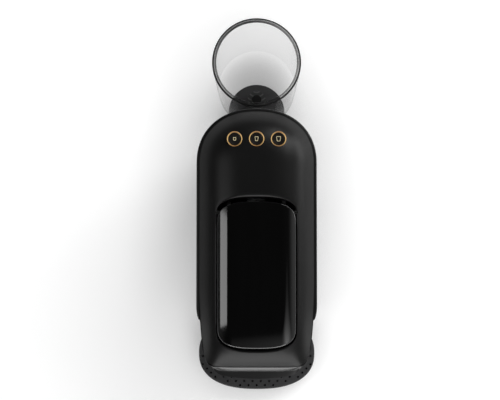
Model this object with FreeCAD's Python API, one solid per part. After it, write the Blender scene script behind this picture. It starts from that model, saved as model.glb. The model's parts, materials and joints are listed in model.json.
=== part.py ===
import FreeCAD
import Part
import math
import os

# A slim pod coffee machine: lever-closed brew unit, open water tank behind, drip tray in front.
# Millimetres, +Z up, front towards -Y, origin on the counter under the middle of the machine.

# Clearances and walls shared by all pieces, and how far a cutter runs past what it cuts
slide_gap = 0.3
running_gap = 0.05
skin = 2.0
overshoot = 1.0

# Rounded column and head, seen from above
head_half_width = 56.0
rear_centre_y = 46.1
rear_reach = 51.4
round_power = 2.2
column_front_y = -100.6
column_corner_y = -86.0
column_draw = 2.5
housing_wall = 4.0
foot_height = 4.0
foot_radius = 7.0
foot_taper = 1.0
foot_inset = 18.0
foot_setback = 6.0
rear_foot_x = 36.0
rear_foot_setback = 8.0
seat_foot_x = 18.0
tray_foot_x = 30.0
tray_foot_reach = 12.0
base_thickness = 8.0
base_inset = 2.0
seam_z = 203.0

# Top cover with its crown
cover_step = 2.2
cover_wall = 2.8
cover_taper_y = -60.0
cover_front_y = -141.4
cover_draw = 6.1
crown_rise = 22.5
crown_flat_half_width = 8.0
crown_steps = (0.0, 0.02, 0.08, 0.18, 0.36, 0.62, 0.92)

# Front of the head, below the cover
nose_reach = 7.3
nose_drop = 23.0
nose_corner = 11.0
head_bottom_z = 149.0
head_bottom_reach = 2.5
head_wall = 2.5
head_back_spread = 4.6
head_side_bulge = 0.25
window_margin = 10.0

# Lever, its recess in the cover and its hinge
lever_half_width = 35.5
lever_rear_y = 9.6
lever_front_y = -124.0
lever_rear_corner = 18.0
lever_front_corner = 13.0
lever_bottom_z = 216.0
lever_edge_height = 2.5
lever_crown = 8.0
lever_crown_run = 26.0
lever_wall = 2.5
lever_pocket_depth = 4.0
lever_side_gap = 1.0
lever_front_gap = 1.8
lever_rear_gap = 3.5
recess_floor_z = 211.0
recess_wall = 2.5
recess_roll = 7.0
hinge_y = 0.0
hinge_z = 217.3
pin_radius = 2.0
hub_radius = 3.7
lever_swing = math.radians(85.0)

# Cam plates and pod cage
cam_inner_x = 24.0
cam_thickness = 3.0
cam_web = 6.0
cam_front_radius = 84.0
cage_travel = 34.0
brew_axis_z = 185.0
cage_front_y = -99.5
cage_radius = 20.5
cage_length = 35.5
cup_mouth_radius = 15.4
cup_end_radius = 12.0
cup_depth = 28.0
cage_pin_radius = 2.5
cage_pin_setback = 3.5
cage_pin_grip = 8.0
feed_tube_radius = 4.0
feed_tube_length = 52.0
water_bore = 1.5

# Brew frame
cheek_inner_x = 29.0
cheek_thickness = 3.0
cheek_top_z = 204.0
chute_bottom_z = 122.0
bulkhead_thickness = 4.0
shelf_z = 138.0
shelf_thickness = 3.0
shelf_front_y = -5.0
shelf_rear_y = 75.0
sleeve_front_y = -26.0
sleeve_rear_y = 28.0
sleeve_radius = 9.0
sleeve_foot_inset = 1.0
outlet_plate_thickness = 3.0
seal_thickness = 0.6
seal_gap = 0.4
cheek_overlap = 10.0

# Coffee outlet
spout_setback = 13.4
spout_bottom_z = 131.0
spout_top_z = 158.0
spout_radius = 10.0
spout_tip_radius = 7.0
spout_bore = 3.5
outlet_pipe_radius = 5.0

# Drip tray and grid
tray_centre_y = -146.0
tray_half_width = 62.8
tray_half_depth = 39.4
tray_power = 2.4
tray_top_z = 24.0
grid_thickness = 3.0
tray_wall = 2.0
tongue_thickness = 4.0
tongue_inset = 10.0
hole_radius = 1.0
hole_pitch = 9.0
hole_margin = 6.0

# Used-pod bin
bin_margin = 12.0
bin_rear_y = -18.0
bin_bottom_z = 26.3
bin_top_z = 116.0
bin_front_thickness = 4.0
bin_front_lap = 2.5
bin_grip_half_width = 16.0
bin_grip_radius = 4.0
bin_bay_gap = 0.5
runner_x = 31.0
runner_width = 6.0

# Water tank, its seat and valve
tank_y = 143.2
tank_radius = 42.2
tank_wall = 2.8
tank_rim_width = 3.9
tank_rim_height = 3.0
tank_floor = 5.7
tank_top_z = 190.0
seat_y = 117.3
seat_radius = 30.8
seat_neck_half_width = 20.0
seat_z = 18.0
valve_y = 130.0
port_radius = 11.0
port_bore = 8.0
port_floor_z = 10.0
port_floor = 2.0
valve_skirt_radius = 7.4
valve_skirt_depth = 4.3
valve_neck_radius = 6.0
valve_flange_radius = 10.0
valve_flange = 2.0
valve_recess = 2.7
plunger_radius = 2.2
plunger_lift = 2.0
coupling_pin = 3.0
seal_height = 1.2
seal_lip = 0.5

# Buttons
button_y = 66.9
button_pitch = 20.06
button_radius = 5.7
button_depth = 6.0
button_travel = 1.2
ring_radius = 6.95
ring_depth = 5.0
ring_proud = 0.4
stem_share = 0.4
board_thickness = 1.6
board_top_z = 207.0
board_half_width = 36.0
board_half_depth = 10.0
switch_size = 6.0
switch_height = 3.5
post_radius = 3.0
post_x = 31.5

# Water path inside the column
pump_z = 60.0
pump_radius = 17.0
pump_front_y = -2.0
pump_rear_y = 55.0
pump_port_radius = 4.5
pump_port_length = 8.0
mount_thickness = 3.0
mount_width = 6.0
saddle_spacing = 22.0
meter_y = 70.0
meter_radius = 14.0
meter_height = 14.0
meter_bottom_z = 20.0
heater_half_width = 25.0
heater_front_y = 22.0
heater_rear_y = 72.0
heater_height = 30.0
heater_fins = 4
hose_radius = 3.0
hose_bore = 1.5
hose_bend = 9.0
hose_room = 1.0
control_board_y = 60.0
control_board_x = (-44.0, -7.0)
control_board_height = 55.0

# Cord gland and screws
gland_y = 40.0
gland_z = 30.0
gland_radius = 7.0
gland_bore = 3.6
gland_inside = 6.0
gland_flange = 9.0
gland_flange_thickness = 1.5
screw_radius = 1.5
screw_head_radius = 3.0
screw_head = 2.2
screw_length = 14.0
boss_radius = 4.0
boss_web = 1.0
base_boss_y = (-78.0, 50.0)
frame_boss_y = (8.0, 50.0)
boss_height = 13.0

# Derived places
base_bottom_z = foot_height
base_top_z = base_bottom_z + base_thickness
column_front_half_width = head_half_width - column_draw
cover_half_width = head_half_width - cover_step
cover_front_half_width = cover_half_width - cover_draw
cover_rear_reach = rear_reach - cover_step
cheek_outer_x = cheek_inner_x + cheek_thickness
cam_outer_x = cam_inner_x + cam_thickness
cage_rear_y = cage_front_y + cage_length
cage_pin_y = cage_rear_y - cage_pin_setback
bulkhead_rear_y = cage_front_y - seal_thickness - outlet_plate_thickness - seal_gap
spout_y = cover_front_y + spout_setback
brew_window_half_width = head_half_width - window_margin
bin_half_width = head_half_width - bin_margin
bin_front_half_width = bin_half_width + bin_front_lap
shelf_top_z = shelf_z + shelf_thickness
tank_bottom_z = seat_z + slide_gap
housing_inner_x = head_half_width - housing_wall


def vec(x, y, z):
    return FreeCAD.Vector(x, y, z)


def box(x, y, z):
    """Block from (low, high) pairs."""
    return Part.makeBox(x[1] - x[0], y[1] - y[0], z[1] - z[0], vec(x[0], y[0], z[0]))


def rod(start, end, radius):
    axis = end.sub(start)
    return Part.makeCylinder(radius, axis.Length, start, axis)


def upright(x, y, z, radius):
    """Upright round rod between the two heights in z."""
    return rod(vec(x, y, z[0]), vec(x, y, z[1]), radius)


def mirrored(shape):
    """The shape's twin on the other side of the centre plane."""
    return shape.mirror(vec(0, 0, 0), vec(1, 0, 0))


def prism(wire, height):
    return Part.Face(wire).extrude(vec(0, 0, height))


def line(a, b):
    return Part.LineSegment(a, b).toShape()


def bezier(points):
    curve = Part.BezierCurve()
    curve.setPoles(points)
    return curve.toShape()


def spline(points, first_tangent=None, last_tangent=None):
    curve = Part.BSplineCurve()
    if first_tangent is None:
        curve.interpolate(Points=points)
    else:
        curve.interpolate(Points=points, InitialTangent=first_tangent, FinalTangent=last_tangent)
    return curve.toShape()


def superellipse_point(angle, half_width, half_depth, power):
    """Point of a superellipse about the origin, at a parameter angle."""
    c = math.cos(angle)
    s = math.sin(angle)
    x = half_width * math.copysign(abs(c) ** (2.0 / power), c)
    y = half_depth * math.copysign(abs(s) ** (2.0 / power), s)
    return x, y


def rear_curve(half_width, reach, z):
    """Rounded rear end of the head, from the right side round to the left."""
    points = []
    for step in range(13):
        x, y = superellipse_point(math.pi * step / 12.0, half_width, reach, round_power)
        points.append(vec(x, rear_centre_y + y, z))
    return spline(points, vec(0, 1, 0), vec(0, -1, 0))


def head_wire(half_width, reach, taper_y, front_half_width, front_y, z):
    """Closed outline: rounded rear, straight sides, sides drawn in to a straight front."""
    bend_y = 0.5 * (taper_y + front_y)
    left = bezier([
        vec(-half_width, taper_y, z), vec(-half_width, bend_y, z), vec(-front_half_width, front_y, z)])
    right = bezier([
        vec(front_half_width, front_y, z), vec(half_width, bend_y, z), vec(half_width, taper_y, z)])
    return Part.Wire([
        rear_curve(half_width, reach, z),
        line(vec(-half_width, rear_centre_y, z), vec(-half_width, taper_y, z)),
        left,
        line(vec(-front_half_width, front_y, z), vec(front_half_width, front_y, z)),
        right,
        line(vec(half_width, taper_y, z), vec(half_width, rear_centre_y, z)),
    ])


def column_wire(inset, z):
    return head_wire(
        head_half_width - inset, rear_reach - inset, column_corner_y,
        column_front_half_width - inset, column_front_y + inset, z)


def crown_height(share, rise):
    """Height of a rounded edge, at a share of the way in from its rim."""
    return rise * (1.0 - (1.0 - share) ** round_power) ** (1.0 / round_power)


def cover_wire(depth, inset, z):
    """Cover outline drawn in by depth, on a cover that is itself smaller by inset."""
    half_width = cover_half_width - inset
    shrink = 1.0 - depth / half_width
    return head_wire(
        half_width * shrink, (cover_rear_reach - inset) * shrink, cover_taper_y,
        (cover_front_half_width - inset) * shrink, cover_front_y + inset + depth, z)


def cover_form(inset):
    """Crowned solid of the cover, or of the space inside it when inset is its wall."""
    run = cover_half_width - inset - crown_flat_half_width
    wires = []
    for share in crown_steps:
        z = seam_z - inset + crown_height(share, crown_rise)
        wires.append(cover_wire(share * run, inset, z))
    return Part.makeLoft(wires, True, False)


def cover_height_at(x, y):
    """Height of the crowned cover above a point behind its rear centre."""
    across = abs(x / cover_half_width) ** round_power
    along = abs((y - rear_centre_y) / cover_rear_reach) ** round_power
    shrink = (across + along) ** (1.0 / round_power)
    depth = cover_half_width * (1.0 - shrink)
    run = cover_half_width - crown_flat_half_width
    return seam_z + crown_height(min(depth / run, 1.0), crown_rise)


def rounded_wire(half_width, rear_y, front_y, rear_corner, front_corner, z):
    """Rectangle with round corners, a different radius at the rear and the front."""
    cut = 1.0 - math.sqrt(0.5)
    right = half_width
    left = -half_width

    def corner(x, y, radius, x_way, y_way, first):
        beside = vec(x, y - y_way * radius, z)
        along = vec(x - x_way * radius, y, z)
        middle = vec(x - x_way * radius * cut, y - y_way * radius * cut, z)
        ends = (beside, along) if first else (along, beside)
        return Part.Arc(ends[0], middle, ends[1]).toShape()

    return Part.Wire([
        line(vec(right, front_y + front_corner, z), vec(right, rear_y - rear_corner, z)),
        corner(right, rear_y, rear_corner, 1, 1, True),
        line(vec(right - rear_corner, rear_y, z), vec(left + rear_corner, rear_y, z)),
        corner(left, rear_y, rear_corner, -1, 1, False),
        line(vec(left, rear_y - rear_corner, z), vec(left, front_y + front_corner, z)),
        corner(left, front_y, front_corner, -1, -1, True),
        line(vec(left + front_corner, front_y, z), vec(right - front_corner, front_y, z)),
        corner(right, front_y, front_corner, 1, -1, False),
    ])


def lever_wire(inset, z):
    shrink = 1.0 - inset / lever_half_width
    return rounded_wire(
        lever_half_width - inset, lever_rear_y - inset, lever_front_y + inset,
        lever_rear_corner * shrink, lever_front_corner * shrink, z)


def recess_wire(flare, z):
    """Outline of the lever's recess, opened out by flare."""
    return rounded_wire(
        lever_half_width + lever_side_gap + flare, lever_rear_y + lever_rear_gap + flare,
        lever_front_y - lever_front_gap - flare,
        lever_rear_corner + lever_side_gap + flare, lever_front_corner + lever_side_gap + flare, z)


def tray_wire(inset, z):
    points = []
    for step in range(24):
        angle = 2.0 * math.pi * step / 24.0
        x, y = superellipse_point(angle, tray_half_width - inset, tray_half_depth - inset, tray_power)
        points.append(vec(x, tray_centre_y + y, z))
    curve = Part.BSplineCurve()
    curve.interpolate(Points=points, PeriodicFlag=True)
    return Part.Wire([curve.toShape()])


def bent_rod(points, radius, bend):
    """Round rod along straight runs, with a round bend of 90 degrees at each corner."""
    pieces = []
    start = points[0]
    for before, corner, after in zip(points, points[1:], points[2:]):
        way = corner.sub(before).normalize()
        leaving = after.sub(corner).normalize()
        enter = corner.sub(vec(*way).multiply(bend))
        leave = corner.add(vec(*leaving).multiply(bend))
        centre = enter.add(vec(*leaving).multiply(bend))
        disc = Part.Face(Part.Wire([Part.makeCircle(radius, enter, way)]))
        pieces.append(rod(start, enter, radius))
        pieces.append(disc.revolve(centre, way.cross(leaving), 90))
        start = leave
    pieces.append(rod(start, points[-1], radius))
    return pieces[0].fuse(pieces[1:])


def hose(points):
    return bent_rod(points, hose_radius, hose_bend).cut(bent_rod(points, hose_bore, hose_bend))


def screw(x, y, head_z, way):
    """Pan-head screw: way is +1 for a shank that points up."""
    shank = rod(vec(x, y, head_z), vec(x, y, head_z + way * screw_length), screw_radius)
    head = rod(vec(x, y, head_z - way * screw_head), vec(x, y, head_z), screw_head_radius)
    return shank.fuse(head)


# Base, feet and housing

def base_screw_places():
    return [(side * (housing_inner_x - boss_radius), y) for y in base_boss_y for side in (-1, 1)]


def frame_screw_places():
    return [(side * (housing_inner_x - boss_radius), y) for y in frame_boss_y for side in (-1, 1)]


def foot_places():
    rows = (
        (head_half_width - foot_inset, column_corner_y + foot_setback),
        (rear_foot_x, rear_centre_y + rear_foot_setback),
        (seat_foot_x, seat_y + foot_setback),
        (tray_foot_x, tray_centre_y - tray_foot_reach))
    return [(side * x, y) for x, y in rows for side in (-1, 1)]


def make_base_plate():
    plate = prism(column_wire(base_inset, base_bottom_z), base_thickness)
    seat = upright(0, seat_y, (base_bottom_z, seat_z), seat_radius)
    neck = box(
        (-seat_neck_half_width, seat_neck_half_width), (rear_centre_y, seat_y), (base_bottom_z, seat_z))
    seat = seat.fuse(neck).cut(prism(column_wire(-slide_gap, base_top_z), seat_z))
    tongue = prism(tray_wire(tongue_inset, base_bottom_z), tongue_thickness)
    bridge = box(
        (-column_front_half_width + nose_corner, column_front_half_width - nose_corner),
        (tray_centre_y, column_front_y + housing_wall), (base_bottom_z, base_bottom_z + tongue_thickness))
    shape = plate.fuse([seat, tongue, bridge])
    for side in (-1, 1):
        low = side * runner_x - 0.5 * runner_width
        shape = shape.fuse(box(
            (low, low + runner_width), (column_front_y + housing_wall, bin_rear_y),
            (base_top_z, bin_bottom_z - slide_gap)))
    for y in saddle_places():
        saddle = box(
            (-pump_radius, pump_radius), (y - 0.5 * mount_width, y + 0.5 * mount_width),
            (base_top_z, pump_z - 0.5 * pump_radius))
        start = vec(0, y - mount_width, pump_z)
        end = vec(0, y + mount_width, pump_z)
        shape = shape.fuse(saddle.cut(rod(start, end, pump_radius + mount_thickness)))
    stand = upright(0, meter_y, (base_top_z, meter_bottom_z), meter_radius - skin)
    shape = shape.fuse(stand)
    shape = shape.cut(upright(0, valve_y, (port_floor_z, seat_z + overshoot), port_radius))
    room = hose_radius + hose_room
    channel = box((-room, room), (meter_y - room, valve_y + hose_radius), (base_bottom_z, port_floor_z))
    riser = box((-room, room), (meter_y - room, meter_y + hose_bend), (base_bottom_z, meter_bottom_z))
    shape = shape.cut([channel, riser])
    for x, y in base_screw_places():
        head = upright(x, y, (base_bottom_z, base_bottom_z + screw_head), screw_head_radius)
        hole = upright(x, y, (base_bottom_z, base_top_z), screw_radius)
        shape = shape.cut([head, hole])
    return shape.removeSplitter()


def make_rubber_feet():
    feet = []
    for x, y in foot_places():
        feet.append(Part.makeCone(foot_radius - foot_taper, foot_radius, foot_height, vec(x, y, 0)))
    return Part.makeCompound(feet)


def wall_boss(x, y, z):
    """Screw boss with its hole, joined to the side wall by a web."""
    wall_x = math.copysign(housing_inner_x + boss_web, x)
    web = box((min(x, wall_x), max(x, wall_x)), (y - boss_web, y + boss_web), z)
    return upright(x, y, z, boss_radius).fuse(web).cut(upright(x, y, z, screw_radius))


def make_main_housing():
    shell = prism(column_wire(0.0, base_top_z), seam_z - base_top_z)
    shell = shell.cut(prism(column_wire(housing_wall, base_top_z), seam_z - base_top_z))
    across = (column_front_y - overshoot, column_front_y + housing_wall + overshoot)
    bay_half_width = bin_front_half_width + bin_bay_gap
    bay = box((-bay_half_width, bay_half_width), across, (base_top_z, bin_top_z + skin + bin_bay_gap))
    window = box((-brew_window_half_width, brew_window_half_width), across, (head_bottom_z, seam_z))
    shell = shell.cut([bay, window])
    for x, y in base_screw_places():
        shell = shell.fuse(wall_boss(x, y, (base_top_z, base_top_z + boss_height)))
    for x, y in frame_screw_places():
        shell = shell.fuse(wall_boss(x, y, (shelf_z - screw_length, shelf_z)))
    return shell.cut(gland_rod(0.0, head_half_width + overshoot, gland_radius))


def gland_rod(inner_x, outer_x, radius):
    return rod(vec(inner_x, gland_y, gland_z), vec(outer_x, gland_y, gland_z), radius)


def make_cord_gland():
    inside_x = housing_inner_x - gland_inside
    outside_x = head_half_width + gland_flange_thickness
    sleeve = gland_rod(inside_x, head_half_width, gland_radius)
    flange = gland_rod(head_half_width, outside_x, gland_flange)
    return sleeve.fuse(flange).cut(gland_rod(inside_x - overshoot, outside_x + overshoot, gland_bore))


def make_base_screws():
    return Part.makeCompound([screw(x, y, base_bottom_z + screw_head, 1) for x, y in base_screw_places()])


def make_frame_screws():
    return Part.makeCompound([screw(x, y, shelf_top_z, -1) for x, y in frame_screw_places()])


# Head: cover, front and underside

def make_top_cover():
    outer = cover_form(0.0)
    shell = outer.cut(cover_form(cover_wall))
    top_z = seam_z + crown_rise
    block = prism(recess_wire(recess_wall, recess_floor_z - recess_wall), top_z - recess_floor_z)
    shell = shell.fuse(block.common(outer))
    rim_z = lever_bottom_z + lever_edge_height
    rolls = []
    for share in (0.0, 0.25, 0.5, 0.75, 1.0):
        flare = recess_roll * share ** 2.5
        rolls.append(recess_wire(flare, rim_z + share * (top_z + overshoot - rim_z)))
    shell = shell.cut(Part.makeLoft([recess_wire(0.0, recess_floor_z)] + rolls, True, True))
    under = recess_floor_z - recess_wall - overshoot
    through = (under, recess_floor_z + overshoot)
    pod_gate = box((-cage_radius, cage_radius), (cage_front_y, cage_front_y + cage_travel), through)
    tail_reach = lever_rear_y - hinge_y + 2.0 * lever_side_gap
    tail_half = lever_half_width + lever_side_gap
    tail_room = box((-tail_half, tail_half), (hinge_y - tail_reach, lever_rear_y + lever_rear_gap), through)
    tail_room = tail_room.common(prism(recess_wire(0.0, under), recess_wall + 2.0 * overshoot))
    shell = shell.cut([pod_gate, tail_room])
    slit_low_y = hinge_y - cam_front_radius - lever_side_gap
    slit_high_y = lever_rear_y + lever_rear_gap
    for low in (cam_inner_x, -cam_outer_x):
        slit_x = (low - 2.0 * slide_gap, low + cam_thickness + 2.0 * slide_gap)
        shell = shell.cut(box(slit_x, (slit_low_y, slit_high_y), through))
    shell = shell.cut(lever_pin_rod())
    for x, y in button_places():
        shell = shell.cut(upright(x, y, (board_top_z, top_z + overshoot), ring_radius))
    for side in (-1, 1):
        post = upright(side * post_x, button_y, (board_top_z, top_z), post_radius)
        shell = shell.fuse(post.common(cover_form(0.5 * cover_wall)))
    return shell.removeSplitter()


def nose_wire(share, inset, z):
    """Outline of the head's front at one height; share 1 is the foremost height."""
    front_y = cover_front_y - nose_reach * share + inset
    half_width = cover_front_half_width + head_side_bulge * nose_reach * share - inset
    back_half_width = cover_front_half_width + head_back_spread - inset
    back_y = column_front_y + (overshoot if inset else 0.0)
    radius = nose_corner * (0.5 + 0.5 * max(share, 0.0))
    cut = radius * (1.0 - math.sqrt(0.5))
    turn_y = front_y + radius

    def half(side):
        arc = Part.Arc(
            vec(side * half_width, turn_y, z), vec(side * (half_width - cut), front_y + cut, z),
            vec(side * (half_width - radius), front_y, z)).toShape()
        return line(vec(side * back_half_width, back_y, z), vec(side * half_width, turn_y, z)), arc

    right_side, right_corner = half(1)
    left_side, left_corner = half(-1)
    front = line(vec(half_width - radius, front_y, z), vec(radius - half_width, front_y, z))
    back = line(vec(-back_half_width, back_y, z), vec(back_half_width, back_y, z))
    return Part.Wire([right_side, right_corner, front, left_corner, left_side, back])


def nose_form(inset):
    """Head front: bulges out below the seam, then draws in to the underside."""
    grow = overshoot if inset else 0.0
    low = head_bottom_z - grow
    high = seam_z + grow
    middle = seam_z - nose_drop
    under_share = head_bottom_reach / nose_reach
    stations = (
        (0.0, high), (0.75, 0.5 * (seam_z + middle)), (1.0, middle),
        (0.9, 0.5 * (middle + head_bottom_z)), (under_share, low))
    wires = [nose_wire(share, inset, z) for share, z in stations]
    return Part.makeLoft(wires, True, False)


def make_head_front():
    return nose_form(0.0).cut(nose_form(head_wall))


def make_head_underside():
    plate = box(
        (-head_half_width, head_half_width), (cover_front_y - nose_reach, column_front_y),
        (head_bottom_z, head_bottom_z + head_wall))
    plate = plate.common(nose_form(head_wall))
    return plate.cut(upright(0, spout_y, (head_bottom_z, head_bottom_z + head_wall), spout_radius))


def make_coffee_spout():
    low = spout_bottom_z
    collar_z = head_bottom_z + head_wall
    profile = Part.makePolygon([
        vec(spout_bore, spout_y, low), vec(spout_tip_radius, spout_y, low),
        vec(spout_radius, spout_y, head_bottom_z), vec(spout_radius, spout_y, collar_z),
        vec(spout_radius + skin, spout_y, collar_z), vec(spout_radius + skin, spout_y, collar_z + skin),
        vec(outlet_pipe_radius + skin, spout_y, spout_top_z), vec(outlet_pipe_radius, spout_y, spout_top_z),
        vec(outlet_pipe_radius, spout_y, collar_z + skin), vec(spout_bore, spout_y, collar_z),
        vec(spout_bore, spout_y, low)])
    return Part.Face(profile).revolve(vec(0, spout_y, 0), vec(0, 0, 1), 360)


# Lever

def hinge_rod(half_length, radius):
    """Rod on the lever's hinge line, centred on the machine."""
    return rod(vec(-half_length, hinge_y, hinge_z), vec(half_length, hinge_y, hinge_z), radius)


def lever_pin_rod():
    return hinge_rod(lever_half_width + lever_side_gap + 0.5 * recess_wall, pin_radius)


def make_lever_panel():
    rim_z = lever_bottom_z + lever_edge_height
    wires = [lever_wire(0.0, lever_bottom_z)]
    for share in crown_steps:
        wires.append(lever_wire(share * lever_crown_run, rim_z + crown_height(share, lever_crown)))
    form = Part.makeLoft(wires[1:], True, False)
    form = form.fuse(prism(wires[0], lever_edge_height))
    pocket = prism(lever_wire(lever_wall, lever_bottom_z), lever_pocket_depth)
    channel = hinge_rod(head_half_width, pin_radius + slide_gap)
    hub_room = hinge_rod(cam_outer_x + slide_gap, hub_radius + slide_gap)
    return form.cut([pocket, channel, hub_room]).removeSplitter()


def cam_point(turn):
    """Where the cage pin lies on the lever, seen from the hinge, when the lever is turned."""
    y = cage_pin_y + cage_travel * turn / lever_swing - hinge_y
    z = brew_axis_z - hinge_z
    return (y * math.cos(turn) - z * math.sin(turn), y * math.sin(turn) + z * math.cos(turn))


def cam_offset(turn, distance):
    """Point beside the pin's path on the lever, at a distance away from the hinge."""
    small = 0.001
    y0, z0 = cam_point(turn - small)
    y1, z1 = cam_point(turn + small)
    length = math.hypot(y1 - y0, z1 - z0)
    y, z = cam_point(turn)
    way_y = (z1 - z0) / length
    way_z = -(y1 - y0) / length
    return cam_place(y + distance * way_y, z + distance * way_z)


def cam_place(y, z):
    return vec(cam_inner_x, hinge_y + y, hinge_z + z)


def cam_curve(distance, first, last):
    count = 9
    turns = [first + (last - first) * step / (count - 1.0) for step in range(count)]
    return spline([cam_offset(turn, distance) for turn in turns])


def cam_cap(turn, ahead, distance):
    """Round end of the cam path, from its far side to its near side."""
    y0, z0 = cam_point(turn)
    y1, z1 = cam_point(turn + ahead)
    length = math.hypot(y1 - y0, z1 - z0)
    tip = cam_place(y0 + distance * (y1 - y0) / length, z0 + distance * (z1 - z0) / length)
    return Part.Arc(cam_offset(turn, distance), tip, cam_offset(turn, -distance)).toShape()


def cam_plate():
    """Plate that hangs from the lever, with the curved slot that drives the cage pin."""
    slot = cage_pin_radius + slide_gap
    reach = slot + cam_web
    step = 0.001
    slot_wire = Part.Wire(Part.__sortEdges__([
        cam_curve(slot, 0.0, lever_swing), cam_cap(lever_swing, step, slot),
        cam_curve(-slot, 0.0, lever_swing), cam_cap(0.0, -step, slot)]))
    top = lever_bottom_z + lever_pocket_depth - hinge_z - skin
    front_top = cam_place(-math.sqrt(cam_front_radius ** 2 - top ** 2), top)
    y0, z0 = cam_point(0.0)
    front_turn = math.atan2(z0, y0) + cam_web / cam_front_radius
    front_low = cam_place(cam_front_radius * math.cos(front_turn), cam_front_radius * math.sin(front_turn))
    mid_turn = 0.5 * (front_turn - math.pi)
    front_mid = cam_place(cam_front_radius * math.cos(mid_turn), cam_front_radius * math.sin(mid_turn))
    below_start = cam_offset(0.1 * lever_swing, reach)
    end_near = cam_offset(lever_swing, -reach)
    hub_low = cam_place(hub_radius, 0.0)
    hub_top = cam_place(hub_radius, top)
    edge = Part.Wire([
        Part.Arc(front_top, front_mid, front_low).toShape(),
        line(front_low, below_start),
        cam_curve(reach, 0.1 * lever_swing, lever_swing),
        cam_cap(lever_swing, step, reach),
        line(end_near, hub_low), line(hub_low, hub_top), line(hub_top, front_top)])
    plate = Part.Face(edge).extrude(vec(cam_thickness, 0, 0))
    cutter = Part.Face(slot_wire).extrude(vec(cam_thickness, 0, 0))
    return plate.cut(cutter)


def make_lever_frame():
    ceiling = lever_bottom_z + lever_pocket_depth
    plate = prism(lever_wire(lever_wall + running_gap, ceiling - skin), skin)
    hub = rod(vec(cam_inner_x - skin, hinge_y, hinge_z), vec(cam_outer_x, hinge_y, hinge_z), hub_radius)
    right = cam_plate().fuse(hub)
    shape = plate.fuse([right, mirrored(right)])
    return shape.cut(hinge_rod(head_half_width, pin_radius + running_gap)).removeSplitter()


# Brew unit

def along_y(points):
    """Solid of revolution about the brew axis, from (distance, y) points."""
    polygon = Part.makePolygon([vec(r, y, brew_axis_z) for r, y in points + points[:1]])
    return Part.Face(polygon).revolve(vec(0, 0, brew_axis_z), vec(0, 1, 0), 360)


def make_pod_cage():
    cup_end_y = cage_front_y + cup_depth
    tube_end_y = cage_rear_y + feed_tube_length
    body = along_y([
        (cup_mouth_radius, cage_front_y), (cage_radius, cage_front_y), (cage_radius, cage_rear_y),
        (feed_tube_radius, cage_rear_y), (feed_tube_radius, tube_end_y), (water_bore, tube_end_y),
        (water_bore, cup_end_y), (cup_end_radius, cup_end_y)])
    return body.cut(cage_pin_rods())


def cage_pin_rods():
    inner = vec(cage_radius - cage_pin_grip, cage_pin_y, brew_axis_z)
    right = rod(inner, vec(cheek_outer_x, cage_pin_y, brew_axis_z), cage_pin_radius)
    return [right, mirrored(right)]


def make_brew_frame():
    low_y = bulkhead_rear_y
    slot_half = cage_pin_radius + slide_gap
    behind_wall_y = column_front_y + housing_wall
    cheek_rear_y = shelf_front_y + cheek_overlap
    over_plate_z = head_bottom_z + head_wall
    across = (cheek_inner_x, cheek_outer_x)
    through = (cheek_inner_x - overshoot, cheek_outer_x + overshoot)
    cheek = box(across, (low_y, cheek_rear_y), (over_plate_z, cheek_top_z))
    lower = box(across, (behind_wall_y, cheek_rear_y), (shelf_z, over_plate_z))
    apron = box(across, (behind_wall_y, cage_rear_y), (chute_bottom_z, shelf_z))
    slot_ends = (cage_pin_y, cage_pin_y + cage_travel)
    slot = box(through, slot_ends, (brew_axis_z - slot_half, brew_axis_z + slot_half))
    cheek = cheek.fuse([lower, apron]).cut(slot)
    for y in slot_ends:
        cheek = cheek.cut(rod(vec(through[0], y, brew_axis_z), vec(through[1], y, brew_axis_z), slot_half))
    bulkhead = box(
        (-cheek_outer_x, cheek_outer_x), (low_y - bulkhead_thickness, low_y), (over_plate_z, cheek_top_z))
    shelf = box((-housing_inner_x, housing_inner_x), (shelf_front_y, shelf_rear_y), (shelf_z, shelf_top_z))
    shelf = shelf.common(prism(column_wire(housing_wall, shelf_z), shelf_thickness))
    outlet = rod(outlet_start(), vec(0, low_y, outlet_z()), outlet_pipe_radius - skin)
    shape = cheek.fuse([mirrored(cheek), bulkhead, shelf]).cut(outlet)
    for x, y in frame_screw_places():
        shape = shape.cut(upright(x, y, (shelf_z, shelf_top_z), screw_radius))
    return shape.removeSplitter()


def outlet_z():
    return brew_axis_z - 0.5 * cage_radius


def outlet_start():
    """Front of the bulkhead, where the outlet pipe begins."""
    return vec(0, bulkhead_rear_y - bulkhead_thickness, outlet_z())


def make_outlet_plate():
    front_y = bulkhead_rear_y
    rear_y = front_y + outlet_plate_thickness
    plate = rod(vec(0, front_y, brew_axis_z), vec(0, rear_y, brew_axis_z), cage_radius)
    pitch = 0.3 * cup_mouth_radius
    holes = []
    for column in range(-2, 3):
        for row in range(-2, 3):
            start = vec(column * pitch, front_y, brew_axis_z + row * pitch)
            holes.append(rod(start, start.add(vec(0, outlet_plate_thickness, 0)), 0.5 * water_bore))
    gutter = box(
        (-outlet_pipe_radius, outlet_pipe_radius), (front_y, front_y + 0.5 * outlet_plate_thickness),
        (outlet_z() - 0.5 * outlet_pipe_radius, brew_axis_z + 2.5 * pitch))
    return plate.cut(holes).cut(gutter)


def make_pod_seal():
    front_y = bulkhead_rear_y + outlet_plate_thickness
    return along_y([
        (cup_mouth_radius, front_y), (cage_radius, front_y),
        (cage_radius, front_y + seal_thickness), (cup_mouth_radius, front_y + seal_thickness)])


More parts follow.
